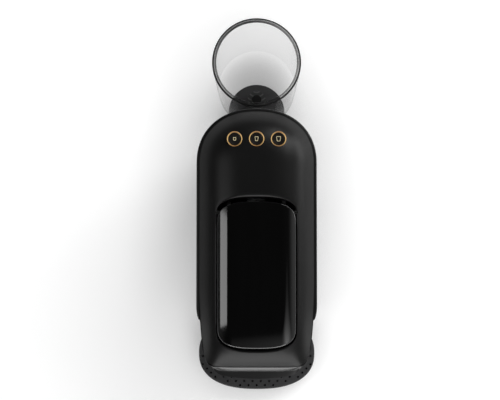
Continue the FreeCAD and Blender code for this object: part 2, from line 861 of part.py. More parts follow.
def make_injection_sleeve():
    guide = feed_tube_radius + running_gap
    bore_end_y = cage_rear_y + feed_tube_length + cage_travel + overshoot
    body = along_y([
        (guide, sleeve_front_y), (sleeve_radius, sleeve_front_y), (sleeve_radius, sleeve_rear_y),
        (hose_bore, sleeve_rear_y), (hose_bore, bore_end_y), (guide, bore_end_y)])
    half = sleeve_radius - sleeve_foot_inset
    foot_front_y = shelf_front_y + cheek_overlap
    foot = box((-half, half), (foot_front_y, sleeve_rear_y - skin), (shelf_top_z, brew_axis_z))
    keep = rod(vec(0, sleeve_front_y, brew_axis_z), vec(0, sleeve_rear_y, brew_axis_z), half)
    return body.fuse(foot.cut(keep)).removeSplitter()


def make_outlet_pipe():
    corner = vec(0, spout_y, outlet_z())
    low = vec(0, spout_y, head_bottom_z + head_wall + skin)
    route = [outlet_start(), corner, low]
    bend = 2.0 * outlet_pipe_radius
    return bent_rod(route, outlet_pipe_radius, bend).cut(bent_rod(route, outlet_pipe_radius - skin, bend))


# Water path

def saddle_places():
    middle = 0.5 * (pump_front_y + pump_rear_y)
    return (middle - 0.5 * saddle_spacing, middle + 0.5 * saddle_spacing)


def make_pump():
    front = vec(0, pump_front_y, pump_z)
    rear = vec(0, pump_rear_y, pump_z)
    port = vec(0, pump_port_length, 0)
    body = rod(front.add(port), rear.sub(port), pump_radius)
    return body.fuse(rod(front, rear, pump_port_radius)).cut(rod(front, rear, hose_bore))


def make_pump_mounts():
    mounts = []
    for y in saddle_places():
        low = vec(0, y - 0.5 * mount_width, pump_z)
        high = vec(0, y + 0.5 * mount_width, pump_z)
        mounts.append(rod(low, high, pump_radius + mount_thickness).cut(rod(low, high, pump_radius)))
    return Part.makeCompound(mounts)


def make_flow_meter():
    body = upright(0, meter_y, (meter_bottom_z, meter_bottom_z + meter_height), meter_radius)
    return body.cut(upright(0, meter_y, (meter_bottom_z, meter_bottom_z + meter_height), hose_bore))


def make_thermoblock():
    across = (-heater_half_width, heater_half_width)
    low_z = shelf_z - heater_height
    body = box(across, (heater_front_y, heater_rear_y), (low_z, shelf_z))
    bore = rod(vec(0, heater_front_y, heater_z()), vec(0, heater_rear_y, heater_z()), hose_bore)
    grooves = []
    for step in range(heater_fins):
        y = heater_front_y + (step + 1.0) * (heater_rear_y - heater_front_y) / (heater_fins + 1.0)
        grooves.append(box(across, (y - skin, y + skin), (low_z, low_z + skin)))
    return body.cut(grooves).cut(bore)


def heater_z():
    return shelf_z - 0.6 * heater_height


def hose_channel_z():
    return port_floor_z - hose_radius


def make_suction_hose():
    low = hose_channel_z()
    return hose([vec(0, valve_y, low), vec(0, meter_y, low), vec(0, meter_y, meter_bottom_z)])


def make_pump_hose():
    top = meter_bottom_z + meter_height
    return hose([vec(0, meter_y, top), vec(0, meter_y, pump_z), vec(0, pump_rear_y, pump_z)])


def make_pressure_hose():
    front_y = pump_front_y - hose_bend - hose_room
    return hose([
        vec(0, pump_front_y, pump_z), vec(0, front_y, pump_z), vec(0, front_y, heater_z()),
        vec(0, heater_front_y, heater_z())])


def make_brew_hose():
    back_y = heater_rear_y + hose_bend + hose_room
    return hose([
        vec(0, heater_rear_y, heater_z()), vec(0, back_y, heater_z()), vec(0, back_y, brew_axis_z),
        vec(0, sleeve_rear_y, brew_axis_z)])


def make_control_board():
    return box(
        control_board_x, (control_board_y, control_board_y + board_thickness),
        (shelf_top_z, shelf_top_z + control_board_height))


# Buttons

def button_places():
    return [(step * button_pitch, button_y) for step in (-1, 0, 1)]


def make_button(x, y):
    top = cover_height_at(x, y)
    cap = upright(x, y, (top - button_depth, top), button_radius)
    stem_z = board_top_z + switch_height + button_travel + slide_gap
    return cap.fuse(upright(x, y, (stem_z, top - button_depth), stem_share * button_radius))


def make_light_ring(x, y):
    top = cover_height_at(x, y) + ring_proud
    ring = upright(x, y, (top - ring_depth, top), ring_radius)
    return ring.cut(upright(x, y, (top - ring_depth, top), button_radius + slide_gap))


def make_button_board():
    return box(
        (-board_half_width, board_half_width), (button_y - board_half_depth, button_y + board_half_depth),
        (board_top_z - board_thickness, board_top_z))


def make_button_switches():
    half = 0.5 * switch_size
    return Part.makeCompound([
        box((x - half, x + half), (y - half, y + half), (board_top_z, board_top_z + switch_height))
        for x, y in button_places()])


# Tank and its coupling

def make_water_tank():
    outer = upright(0, tank_y, (tank_bottom_z, tank_top_z), tank_radius)
    bottom = [edge for edge in outer.Edges if abs(edge.BoundBox.ZMax - tank_bottom_z) < 0.01]
    outer = outer.makeFillet(tank_wall, bottom)
    inner_radius = tank_radius - tank_wall
    mouth_radius = tank_radius - tank_rim_width
    bead_z = tank_top_z - tank_rim_height
    slope_z = bead_z - 0.5 * tank_rim_height
    inner = upright(0, tank_y, (tank_bottom_z + tank_floor, slope_z), inner_radius)
    slope = Part.makeCone(inner_radius, mouth_radius, bead_z - slope_z, vec(0, tank_y, slope_z))
    mouth = upright(0, tank_y, (bead_z, tank_top_z), mouth_radius)
    recess = upright(0, valve_y, (tank_bottom_z, tank_bottom_z + valve_recess), port_radius + skin)
    neck = upright(0, valve_y, (tank_bottom_z, tank_bottom_z + tank_floor), valve_neck_radius)
    return outer.cut(inner.fuse([slope, mouth])).cut([recess, neck])


def make_tank_valve():
    floor_z = tank_bottom_z + tank_floor
    roof_z = tank_bottom_z + valve_recess
    skirt = upright(0, valve_y, (seat_z - valve_skirt_depth, roof_z), valve_skirt_radius)
    neck = upright(0, valve_y, (roof_z, floor_z), valve_neck_radius)
    flange = upright(0, valve_y, (floor_z, floor_z + valve_flange), valve_flange_radius)
    bore = upright(0, valve_y, (seat_z - valve_skirt_depth, floor_z + valve_flange), plunger_radius + skin)
    return skirt.fuse([neck, flange]).cut(bore)


def make_valve_plunger():
    low = seat_z - valve_skirt_depth + plunger_lift
    high = tank_bottom_z + tank_floor + valve_flange
    stem = upright(0, valve_y, (low, high), plunger_radius)
    head = upright(0, valve_y, (high, high + skin), plunger_radius + 1.5 * skin)
    return stem.fuse(head)


def make_tank_coupling():
    cup = upright(0, valve_y, (port_floor_z, seat_z), port_radius)
    cup = cup.cut(upright(0, valve_y, (port_floor_z + port_floor, seat_z), port_bore))
    floor_z = port_floor_z + port_floor
    return cup.fuse(upright(0, valve_y, (floor_z, floor_z + coupling_pin), plunger_radius))


def make_coupling_seal():
    ring = upright(0, valve_y, (seat_z, seat_z + seal_height), port_radius)
    return ring.cut(upright(0, valve_y, (seat_z, seat_z + seal_height), port_bore + seal_lip))


# Drip tray, grid and pod bin

def make_drip_tray():
    low = base_bottom_z + tongue_thickness + slide_gap
    high = tray_top_z - grid_thickness
    outer = Part.makeLoft([tray_wire(tray_wall, low), tray_wire(0.0, high)], True, True)
    floor = tray_wire(2.0 * tray_wall, low + tray_wall)
    return outer.cut(Part.makeLoft([floor, tray_wire(tray_wall, high)], True, True))


def grid_holes():
    """Staggered hole places, kept off the rim."""
    places = []
    rows = int(2.0 * tray_half_depth / (0.5 * hole_pitch)) // 2
    columns = int(tray_half_width / hole_pitch) + 1
    for row in range(-rows, rows + 1):
        shift = 0.5 * hole_pitch * (row % 2)
        for column in range(-columns, columns + 1):
            x = column * hole_pitch + shift
            y = row * 0.5 * hole_pitch
            across = abs(x / (tray_half_width - hole_margin)) ** tray_power
            along = abs(y / (tray_half_depth - hole_margin)) ** tray_power
            if across + along < 1.0:
                places.append((x, tray_centre_y + y))
    return places


def make_drip_grid():
    low = tray_top_z - grid_thickness
    plate = prism(tray_wire(0.0, low), grid_thickness)
    turns = [step * math.pi / 3.0 for step in range(7)]
    cutters = []
    for x, y in grid_holes():
        corners = [vec(x + hole_radius * math.cos(t), y + hole_radius * math.sin(t), low) for t in turns]
        cutters.append(prism(Part.makePolygon(corners), grid_thickness))
    return plate.cut(cutters)


def make_pod_bin():
    rear_of_front = column_front_y + bin_front_thickness
    outer = box((-bin_half_width, bin_half_width), (rear_of_front, bin_rear_y), (bin_bottom_z, bin_top_z))
    inner = box(
        (-bin_half_width + skin, bin_half_width - skin), (rear_of_front + skin, bin_rear_y - skin),
        (bin_bottom_z + skin, bin_top_z))
    return outer.cut(inner)


def make_bin_front():
    top_z = bin_top_z + skin
    plate = box(
        (-bin_front_half_width, bin_front_half_width), (column_front_y, column_front_y + bin_front_thickness),
        (bin_bottom_z - slide_gap, top_z))
    grip_y = column_front_y - 0.5 * bin_grip_radius
    left = vec(-bin_grip_half_width, grip_y, top_z)
    right = vec(bin_grip_half_width, grip_y, top_z)
    return plate.cut(rod(left, right, bin_grip_radius))


def make_all():
    pieces = {
        "base_plate": make_base_plate(),
        "rubber_feet": make_rubber_feet(),
        "main_housing": make_main_housing(),
        "cord_gland": make_cord_gland(),
        "base_screws": make_base_screws(),
        "frame_screws": make_frame_screws(),
        "top_cover": make_top_cover(),
        "head_front": make_head_front(),
        "head_underside": make_head_underside(),
        "coffee_spout": make_coffee_spout(),
        "lever_panel": make_lever_panel(),
        "lever_frame": make_lever_frame(),
        "lever_pin": lever_pin_rod(),
        "pod_cage": make_pod_cage(),
        "cage_pins": Part.makeCompound(cage_pin_rods()),
        "brew_frame": make_brew_frame(),
        "outlet_plate": make_outlet_plate(),
        "pod_seal": make_pod_seal(),
        "injection_sleeve": make_injection_sleeve(),
        "outlet_pipe": make_outlet_pipe(),
        "pump": make_pump(),
        "pump_mounts": make_pump_mounts(),
        "flow_meter": make_flow_meter(),
        "thermoblock": make_thermoblock(),
        "suction_hose": make_suction_hose(),
        "pump_hose": make_pump_hose(),
        "pressure_hose": make_pressure_hose(),
        "brew_hose": make_brew_hose(),
        "control_board": make_control_board(),
        "button_board": make_button_board(),
        "button_switches": make_button_switches(),
        "water_tank": make_water_tank(),
        "tank_valve": make_tank_valve(),
        "valve_plunger": make_valve_plunger(),
        "tank_coupling": make_tank_coupling(),
        "coupling_seal": make_coupling_seal(),
        "drip_tray": make_drip_tray(),
        "drip_grid": make_drip_grid(),
        "pod_bin": make_pod_bin(),
        "bin_front": make_bin_front(),
    }
    for size, (x, y) in zip(("small", "medium", "large"), button_places()):
        pieces["button_" + size] = make_button(x, y)
        pieces["light_ring_" + size] = make_light_ring(x, y)
    return pieces


os.makedirs("parts", exist_ok=True)
for name, shape in make_all().items():
    shape.exportStep("parts/" + name + ".step")
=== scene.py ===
import json
import math
import bmesh
import bpy
from mathutils import Matrix, Vector


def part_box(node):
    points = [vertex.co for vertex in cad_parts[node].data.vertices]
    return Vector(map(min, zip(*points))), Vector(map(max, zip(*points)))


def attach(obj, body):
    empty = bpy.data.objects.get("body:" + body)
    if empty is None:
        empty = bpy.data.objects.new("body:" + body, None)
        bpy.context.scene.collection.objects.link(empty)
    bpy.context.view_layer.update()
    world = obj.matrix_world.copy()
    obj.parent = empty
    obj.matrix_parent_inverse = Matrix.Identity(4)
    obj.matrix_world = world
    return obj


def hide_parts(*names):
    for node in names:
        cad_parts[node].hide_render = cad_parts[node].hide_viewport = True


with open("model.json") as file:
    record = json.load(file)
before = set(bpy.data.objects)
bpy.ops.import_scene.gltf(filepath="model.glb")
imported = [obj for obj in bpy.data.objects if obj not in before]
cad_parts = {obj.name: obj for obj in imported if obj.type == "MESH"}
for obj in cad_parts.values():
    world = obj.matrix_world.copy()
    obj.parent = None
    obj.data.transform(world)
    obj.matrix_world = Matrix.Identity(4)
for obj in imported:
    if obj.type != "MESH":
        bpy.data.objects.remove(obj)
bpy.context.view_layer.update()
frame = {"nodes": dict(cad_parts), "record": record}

# Pod coffee machine seen from above: smooth shells round the CAD frame, their finishes, and a white studio.
# Metres, +Z up, front towards -Y. Sizes come from the frame's boxes where a node gives them.

MM = 0.001
nodes = frame["nodes"]
sideways = Vector((1, 0, 0))
upwards = Vector((0, 0, 1))

# Sizes read from the frame
housing_low, housing_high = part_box("main_housing")
cover_low, cover_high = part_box("top_cover")
nose_low, nose_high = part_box("head_front")
lever_low, lever_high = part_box("lever_panel")
pin_low, pin_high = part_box("lever_pin")
cage_low, cage_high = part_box("pod_cage")
grid_low, grid_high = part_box("drip_grid")
tray_low, tray_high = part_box("drip_tray")
tank_low, tank_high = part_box("water_tank")
valve_low, valve_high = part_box("tank_valve")
spout_low, spout_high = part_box("coffee_spout")
bin_low, bin_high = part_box("bin_front")
gland_low, gland_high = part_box("cord_gland")

# Column: plan shape, wall, and the openings in its front
round_power = 2.2
rear_centre_y = 46.1 * MM
column_corner_y = -86.0 * MM
column_front_half = 53.5 * MM
column_corner_power = 40.0
housing_wall = 4.0 * MM
shoulder = 1.6 * MM
bay_gap = 0.5 * MM
window_half = 46.0 * MM
opening_ahead = 5.0 * MM
opening_depth = 8.0 * MM
cut_spare = 1.0 * MM
gland_hole_radius = 7.0 * MM
gland_hole_half = 20.0 * MM

# Cover: plan shape, crown, and the front that falls away
cover_corner_power = 8.0
cover_taper_y = -60.0 * MM
cover_front_half = 47.7 * MM
cover_wall = 2.8 * MM
crown_flat_half = 8.0 * MM
crown_rise = cover_high.z - cover_low.z
crown_least_share = 1e-4
flank_slope = 1.15
flank_power = 4.5
front_side_run = 20.0 * MM
front_slope_run = 42.0 * MM
front_slope_power = 2.0
front_fall = 0.8
seam_z = cover_low.z
seam_round = 0.7 * MM
cover_spans = 34
cover_span_power = 2.0
button_hole_half = 30.0 * MM

# Lever
end_power = 2.8
lever_end = 19.0 * MM
lever_edge = 0.3 * MM
lever_front_edge = 2.2 * MM
lever_front_edge_power = 6
lever_roll = 12.0 * MM
lever_roll_rise = 4.0 * MM
lever_front_drop = 3.4 * MM
lever_front_power = 4
lever_rear_drop = 1.8 * MM
lever_wall = 2.5 * MM
lever_pocket = 4.0 * MM
lever_spans = 44
lever_span_power = 2.4

# Recess that the lever lies in, and the cuts in its floor
recess_side_gap = 1.0 * MM
recess_front_gap = 1.8 * MM
recess_rear_gap = 3.5 * MM
recess_rear_end = 14.5 * MM
recess_floor_z = 211.0 * MM
recess_wall = 2.5 * MM
roll_side = 0.5 * MM
roll_front = 1.0 * MM
roll_rear = 1.4 * MM
roll_spread = 30
roll_turns = 8
floor_cut_below = 10.0 * MM
floor_cut_above = 4.0 * MM
gate_length = 34.0 * MM
tail_half = 36.0 * MM
tail_ahead = 12.0 * MM
tail_rear_y = 30.0 * MM
slit_x = 25.5 * MM
slit_half = 2.1 * MM
slit_length = 85.0 * MM

# Head front
nose_wall = 2.5 * MM
nose_back = 6.0 * MM
nose_corner = 8.0 * MM
nose_corner_growth = 6.0 * MM
nose_least_corner = 1.0 * MM
nose_slope_reach = 4.6 * MM
nose_slope_drop = 3.3 * MM
nose_slope_power = 1.2
nose_slope_steps = 8
nose_lip_reach = 0.6 * MM
nose_lip_bow = 6.3 * MM
nose_lip_drop = 0.9 * MM
nose_lip_round = 0.8 * MM
nose_lip_steps = 6
nose_bottom_reach = 2.5 * MM
nose_wall_power = 2.0
nose_wall_steps = 12
nose_side_power = 6
nose_forward_power = 4
nose_inner_first_row = 12
nose_inner_row_step = 3

# Drip grid and tray
tray_power = 2.4
grid_round = 1.2 * MM
grid_foot = 0.4 * MM
hole_radius = 1.15 * MM
hole_pitch = 9.0 * MM
hole_margin = 2.2 * MM
hole_shift = 0.9 * MM
hole_depth = 20.0 * MM
hole_sides = 14
tray_wall = 2.0 * MM
tray_foot_inset = 1.5 * MM
tray_foot_rise = 1.0 * MM
tray_side_inset = 0.3 * MM
tray_top_inset = 0.6 * MM
tray_top_round = 0.4 * MM

# Tank
tank_wall = 2.8 * MM
tank_floor = 5.7 * MM
tank_rim_width = 3.9 * MM
tank_rim_height = 3.0 * MM
tank_lip = 0.35 * tank_rim_width
tank_line = 1.53 * MM
tank_steps = 128
tank_neck_radius = 6.2 * MM
tank_neck_half = 20.0 * MM
tank_pocket_radius = 13.0 * MM
tank_pocket_half = 2.7 * MM
valve_ring_step = 2.4 * MM

# Buttons
sizes = ("small", "medium", "large")
ring_width = 0.7 * MM
ring_steps = 72
cap_dish = 0.5 * MM
cap_edge = 0.5 * MM
cap_skirt = 6.0 * MM
cap_stem_share = 0.4
icon_half_widths = {"small": 1.4 * MM, "medium": 1.7 * MM, "large": 2.1 * MM}
icon_half_heights = {"small": 1.4 * MM, "medium": 2.0 * MM, "large": 2.2 * MM}
icon_tapers = {"small": 0.12, "medium": 0.14, "large": 0.15}
icon_height = 0.12 * MM
icon_root = 0.2 * MM
icon_line = 0.3 * MM
icon_squareness = 0.28
icon_points = 40

# Gland, spout and bin front
gland_bore = 3.6 * MM
gland_neck = 6.9 * MM
gland_edge = 0.6 * MM
gland_edge_share = 0.4
gland_mouth = 1.2 * MM
gland_mouth_depth = 0.8 * MM
head_floor = 2.5 * MM
spout_bore = 3.5 * MM
spout_mouth = 4.3 * MM
spout_mouth_depth = 0.8 * MM
spout_tip = 6.4 * MM
spout_tip_edge = 7.0 * MM
spout_tip_rise = 0.6 * MM
spout_waist = (8.2 * MM, 8.0 * MM)
spout_hip = (9.4 * MM, 14.0 * MM)
spout_body = 9.95 * MM
spout_flange = 12.0 * MM
spout_flange_height = 2.0 * MM
spout_funnel_outside = 7.0 * MM
spout_funnel_inside = 5.0 * MM
bin_round = 0.8 * MM
grip_radius = 4.0 * MM
grip_half = 16.0 * MM
grip_ahead = 2.0 * MM

# Mesh fineness
outline_points = 288
outline_reach = 0.4
outline_halvings = 40
turned_steps = 64
drum_segments = 48
block_segments = 4
sharp_degrees = 40.0
merge_distance = 1e-6


# Mesh helpers

def link(name, bm, sharp_angle=sharp_degrees):
    """Object from a bmesh, smooth except at edges sharper than the angle."""
    mesh = bpy.data.meshes.new(name)
    bm.to_mesh(mesh)
    bm.free()
    piece = bpy.data.objects.new(name, mesh)
    bpy.context.scene.collection.objects.link(piece)
    soften(piece, sharp_angle)
    return piece


def soften(piece, sharp_angle):
    for polygon in piece.data.polygons:
        polygon.use_smooth = True
    piece.data.set_sharp_from_angle(angle=math.radians(sharp_angle))


def loop_edges(loop):
    edges = []
    for index, vert in enumerate(loop):
        after = loop[(index + 1) % len(loop)]
        edges.append(next(edge for edge in vert.link_edges if edge.other_vert(vert) is after))
    return edges


def next_loop(bm, loop):
    """Extrudes a loop and gives the new verts in the same order."""
    made = bmesh.ops.extrude_edge_only(bm, edges=loop_edges(loop))["geom"]
    fresh = {item for item in made if isinstance(item, bmesh.types.BMVert)}
    followers = []
    for vert in loop:
        neighbours = (edge.other_vert(vert) for edge in vert.link_edges)
        followers.append(next(other for other in neighbours if other in fresh))
    return followers


def skinned(name, rings, ends="join", sharp_angle=sharp_degrees):
    """Skin over rings of points; ends is 'join', 'cap' or 'point' for how the last ring closes."""
    bm = bmesh.new()
    loop = bmesh.ops.create_circle(bm, segments=len(rings[0]), radius=1.0)["verts"]
    first = loop
    for ring_index, ring in enumerate(rings):
        if ring_index:
            loop = next_loop(bm, loop)
        for vert, point in zip(loop, ring):
            vert.co = point
    if ends == "join":
        bmesh.ops.bridge_loops(bm, edges=loop_edges(first) + loop_edges(loop))
    else:
        bmesh.ops.contextual_create(bm, geom=loop_edges(first))
    if ends == "cap":
        bmesh.ops.contextual_create(bm, geom=loop_edges(loop))
    if ends == "point":
        middle = sum((vert.co for vert in loop), Vector()) / len(loop)
        bmesh.ops.pointmerge(bm, verts=loop, merge_co=middle)
    bmesh.ops.recalc_face_normals(bm, faces=bm.faces)
    return link(name, bm, sharp_angle)


def spun(name, profile, centre, axis, steps=turned_steps):
    """Turned piece: the profile is (radius, height) pairs about an axis through the centre."""
    bm = bmesh.new()
    side = sideways if abs(axis.x) < 0.5 else upwards
    verts = [bm.verts.new(centre + side * radius + axis * height) for radius, height in profile]
    edges = [bm.edges.new((verts[index - 1], verts[index])) for index in range(1, len(verts))]
    edges.append(bm.edges.new((verts[-1], verts[0])))
    bmesh.ops.spin(
        bm, geom=verts + edges, cent=centre, axis=axis, angle=2.0 * math.pi, steps=steps, use_merge=True)
    bmesh.ops.remove_doubles(bm, verts=bm.verts, dist=merge_distance)
    bmesh.ops.recalc_face_normals(bm, faces=bm.faces)
    return link(name, bm)


def block(name, low, high, bevel=0.0):
    """Box between two corners, with rounded edges where a bevel is given."""
    bm = bmesh.new()
    verts = bmesh.ops.create_cube(bm, size=1.0)["verts"]
    bmesh.ops.scale(bm, vec=high - low, verts=verts)
    bmesh.ops.translate(bm, vec=(low + high) * 0.5, verts=verts)
    if bevel:
        bmesh.ops.bevel(
            bm, geom=bm.edges[:], offset=bevel, segments=block_segments, profile=0.5, affect="EDGES",
            material=-1)
    return link(name, bm)


def drum(name, centre, axis, radius, half_length):
    """Plain round cutter along an axis."""
    bm = bmesh.new()
    verts = bmesh.ops.create_cone(
        bm, segments=drum_segments, radius1=radius, radius2=radius, depth=2.0 * half_length,
        cap_ends=True)["verts"]
    turn = upwards.rotation_difference(axis).to_matrix()
    bmesh.ops.rotate(bm, cent=(0, 0, 0), matrix=turn, verts=verts)
    bmesh.ops.translate(bm, vec=centre, verts=verts)
    return link(name, bm)


def carve(piece, cutters):
    """Cuts the cutters out of a piece and removes them."""
    for cutter in cutters:
        cut = piece.modifiers.new("cut", "BOOLEAN")
        cut.solver = "EXACT"
        cut.operation = "DIFFERENCE"
        cut.object = cutter
    graph = bpy.context.evaluated_depsgraph_get()
    carved = bpy.data.meshes.new_from_object(piece.evaluated_get(graph))
    piece.modifiers.clear()
    piece.data = carved
    for cutter in cutters:
        bpy.data.objects.remove(cutter)
    soften(piece, sharp_degrees)


def middle_of(low, high):
    return (low + high) * 0.5


def quarter_turns(steps):
    """Angles from 0 to a right angle."""
    return [0.5 * math.pi * step / steps for step in range(steps + 1)]


def rounded_rim(radius, top):
    """Insets and heights that round a rim over to its top."""
    shares = ((0.0, 1.0), (0.12, 0.5), (0.5, 0.12), (1.0, 0.0))
    return [(inset * radius, top - drop * radius) for inset, drop in shares]


def at_height(points, z):
    return [Vector((point.x, point.y, z)) for point in points]


def lifted(points, height):
    """Points raised to a height that depends on where each one is."""
    return [Vector((point.x, point.y, height(point))) for point in points]


def moved(points, ways, distance):
    return [point + way * distance for point, way in zip(points, ways)]


def blended(first, second, share):
    return [one.lerp(other, share) for one, other in zip(first, second)]


def clamped(value):
    return min(max(value, 0.0), 1.0)


# Plan outlines, each given by an edge function that is 1 on the outline and less inside

def outline(edge, centre_y):
    """Points where rays from a centre on the middle plane leave a shape."""
    points = []
    for step in range(outline_points):
        angle = 2.0 * math.pi * step / outline_points
        way = Vector((math.cos(angle), math.sin(angle)))
        near, far = 0.0, outline_reach
        for _ in range(outline_halvings):
            middle = 0.5 * (near + far)
            inside = edge(way.x * middle, centre_y + way.y * middle) < 1.0
            near, far = (middle, far) if inside else (near, middle)
        points.append(Vector((way.x * near, centre_y + way.y * near)))
    return points


def taper_half(y, half, front_half, taper_y, front_y):
    """Half width that narrows from the taper's start to the front."""
    share = clamped((taper_y - y) / (taper_y - front_y))
    return half - (half - front_half) * share ** 2


def head_depth(x, y, half, reach, taper_y, front_half, front_y):
    """Depths in from the side or rear edge, and in from the front edge."""
    if y > rear_centre_y:
        across = (abs(x) / half) ** round_power
        along = ((y - rear_centre_y) / reach) ** round_power
        share = (across + along) ** (1 / round_power)
    else:
        share = abs(x) / taper_half(y, half, front_half, taper_y, front_y)
    return half * (1.0 - share), y - front_y


def joined_edge(depths, run, corner_power):
    """Joins the side and front edges: 1 on the edge, with corners that a higher power makes crisper."""
    side, front = (max(1.0 - depth / run, 0.0) for depth in depths)
    return (side ** corner_power + front ** corner_power) ** (1.0 / corner_power)


def column_edge(inset):
    def edge(x, y):
        depths = head_depth(
            x, y, housing_high.x - inset, housing_high.y - rear_centre_y - inset, column_corner_y,
            column_front_half - inset, housing_low.y + inset)
        return joined_edge(depths, housing_high.x - inset, column_corner_power)
    return edge


def cover_depths(x, y, inset=0.0):
    return head_depth(
        x, y, cover_high.x - inset, cover_high.y - rear_centre_y - inset, cover_taper_y,
        cover_front_half - inset, cover_low.y + inset)


def cover_edge(inset):
    run = cover_high.x - inset - crown_flat_half

    def edge(x, y):
        return joined_edge(cover_depths(x, y, inset), run, cover_corner_power)
    return edge


def tablet_edge(half, rear_y, front_y, rear_end, front_end):
    """Long tablet: straight sides and rounded ends."""
    def edge(x, y):
        along = max((y - rear_y) / rear_end + 1.0, (front_y - y) / front_end + 1.0, 0.0)
        return ((abs(x) / half) ** end_power + along ** end_power) ** (1.0 / end_power)
    return edge


def nose_edge(half, front_y, back_y, corner):
    """Rectangle with round corners."""
    middle_y = 0.5 * (front_y + back_y)
    half_depth = 0.5 * (back_y - front_y)

    def edge(x, y):
        out_x = max(abs(x) - (half - corner), 0.0)
        out_y = max(abs(y - middle_y) - (half_depth - corner), 0.0)
        return math.hypot(out_x, out_y) / corner
    return edge


def tray_outline(inset):
    """Rounded oval of the tray and its grid."""
    half = min(grid_high.x, -grid_low.x) - inset
    depth = 0.5 * (grid_high.y - grid_low.y) - inset
    middle_y = 0.5 * (grid_high.y + grid_low.y)

    def edge(x, y):
        return (abs(x) / half) ** tray_power + (abs(y - middle_y) / depth) ** tray_power
    return outline(edge, middle_y)


# Cover, recess and lever

def crown(depth, run):
    """Height of the cover over its seam: a straight flank that rolls over into a rounded top."""
    share = min(max(depth / run, crown_least_share), 1.0)
    flank = flank_slope * share * (cover_high.x - crown_flat_half)
    top = crown_rise * (1.0 - (1.0 - share) ** round_power) ** (1.0 / round_power)
    return (flank ** -flank_power + top ** -flank_power) ** (-1.0 / flank_power)


def cover_height(x, y):
    """The crown runs on to the front, where it falls away to a low arch over the seam."""
    side_depth, front_depth = cover_depths(x, y)
    fall = (1.0 - clamped(front_depth / front_slope_run)) ** front_slope_power
    run = taper_half(y, cover_high.x - crown_flat_half, front_side_run, cover_taper_y, cover_low.y)
    return seam_z + crown(side_depth, run) * (1.0 - front_fall * fall)


recess_centre_y = 0.5 * (lever_low.y + lever_high.y)
recess_outline = outline(tablet_edge(
    lever_high.x + recess_side_gap, lever_high.y + recess_rear_gap, lever_low.y - recess_front_gap,
    recess_rear_end, lever_end + recess_side_gap), recess_centre_y)


def roll_radius(point):
    """How softly the cover rolls into the recess: most at the rear, least at the sides."""
    rear = max((point.y - recess_centre_y) / (lever_high.y - recess_centre_y), 0.0) ** roll_spread
    front = max((recess_centre_y - point.y) / (recess_centre_y - lever_low.y), 0.0) ** roll_spread
    return roll_side + (roll_rear - roll_side) * rear + (roll_front - roll_side) * front


def make_cover_shell():
    """Crowned cover from its seam over the top, down into the recess and back underneath."""
    rim = outline(cover_edge(0.0), recess_centre_y)
    inner_rim = outline(cover_edge(cover_wall), recess_centre_y)
    ways = [(outer - inner).normalized() for outer, inner in zip(rim, recess_outline)]
    mouths = [point + way * roll_radius(point) for point, way in zip(recess_outline, ways)]
    backs = moved(recess_outline, ways, recess_wall)
    wall_foot_z = recess_floor_z - recess_wall

    def top_height(point):
        return max(cover_height(point.x, point.y), seam_z + seam_round)

    def under_height(point):
        return cover_height(point.x, point.y) - 2.0 * cover_wall

    def hem_height(point):
        return max(under_height(point), seam_z)

    rings = [at_height(moved(rim, ways, -seam_round), seam_z)]
    for step in range(cover_spans + 1):
        share = (step / cover_spans) ** cover_span_power
        rings.append(lifted(blended(rim, mouths, share), top_height))
    tops = [point.z for point in rings[-1]]
    for turn in quarter_turns(roll_turns)[1:]:
        ring = []
        for point, way, top in zip(recess_outline, ways, tops):
            roll = roll_radius(point)
            place = point + way * (roll * (1.0 - math.sin(turn)))
            ring.append(Vector((place.x, place.y, top - roll * (1.0 - math.cos(turn)))))
        rings.append(ring)
    rings.append(at_height(recess_outline, wall_foot_z))
    rings.append(at_height(backs, wall_foot_z))
    rings.append(lifted(backs, under_height))
    for share in (0.66, 0.33, 0.0):
        rings.append(lifted(blended(inner_rim, backs, share), hem_height))
    piece = skinned("cover_shell", rings)
    holes = [drum("hole", ring_centre(size), upwards, ring_radius(size), button_hole_half) for size in sizes]
    carve(piece, holes)
    return piece


def make_recess_floor():
    """Floor of the recess, with the pod gate, the cam slits and the room behind the hinge."""
    floor = skinned("recess_floor", [
        at_height(recess_outline, recess_floor_z - recess_wall),
        at_height(recess_outline, recess_floor_z)], "cap")
    low_z = recess_floor_z - floor_cut_below
    high_z = recess_floor_z + floor_cut_above
    hinge_y = middle_of(pin_low, pin_high).y

    def cut(name, low_x, high_x, front_y, rear_y):
        return block(name, Vector((low_x, front_y, low_z)), Vector((high_x, rear_y, high_z)))

    cuts = [
        cut("gate", cage_low.x, cage_high.x, cage_low.y, cage_low.y + gate_length),
        cut("tail", -tail_half, tail_half, hinge_y - tail_ahead, tail_rear_y)]
    for x in (-slit_x, slit_x):
        cuts.append(cut("slit", x - slit_half, x + slit_half, hinge_y - slit_length, hinge_y))
    carve(floor, cuts)
    return floor


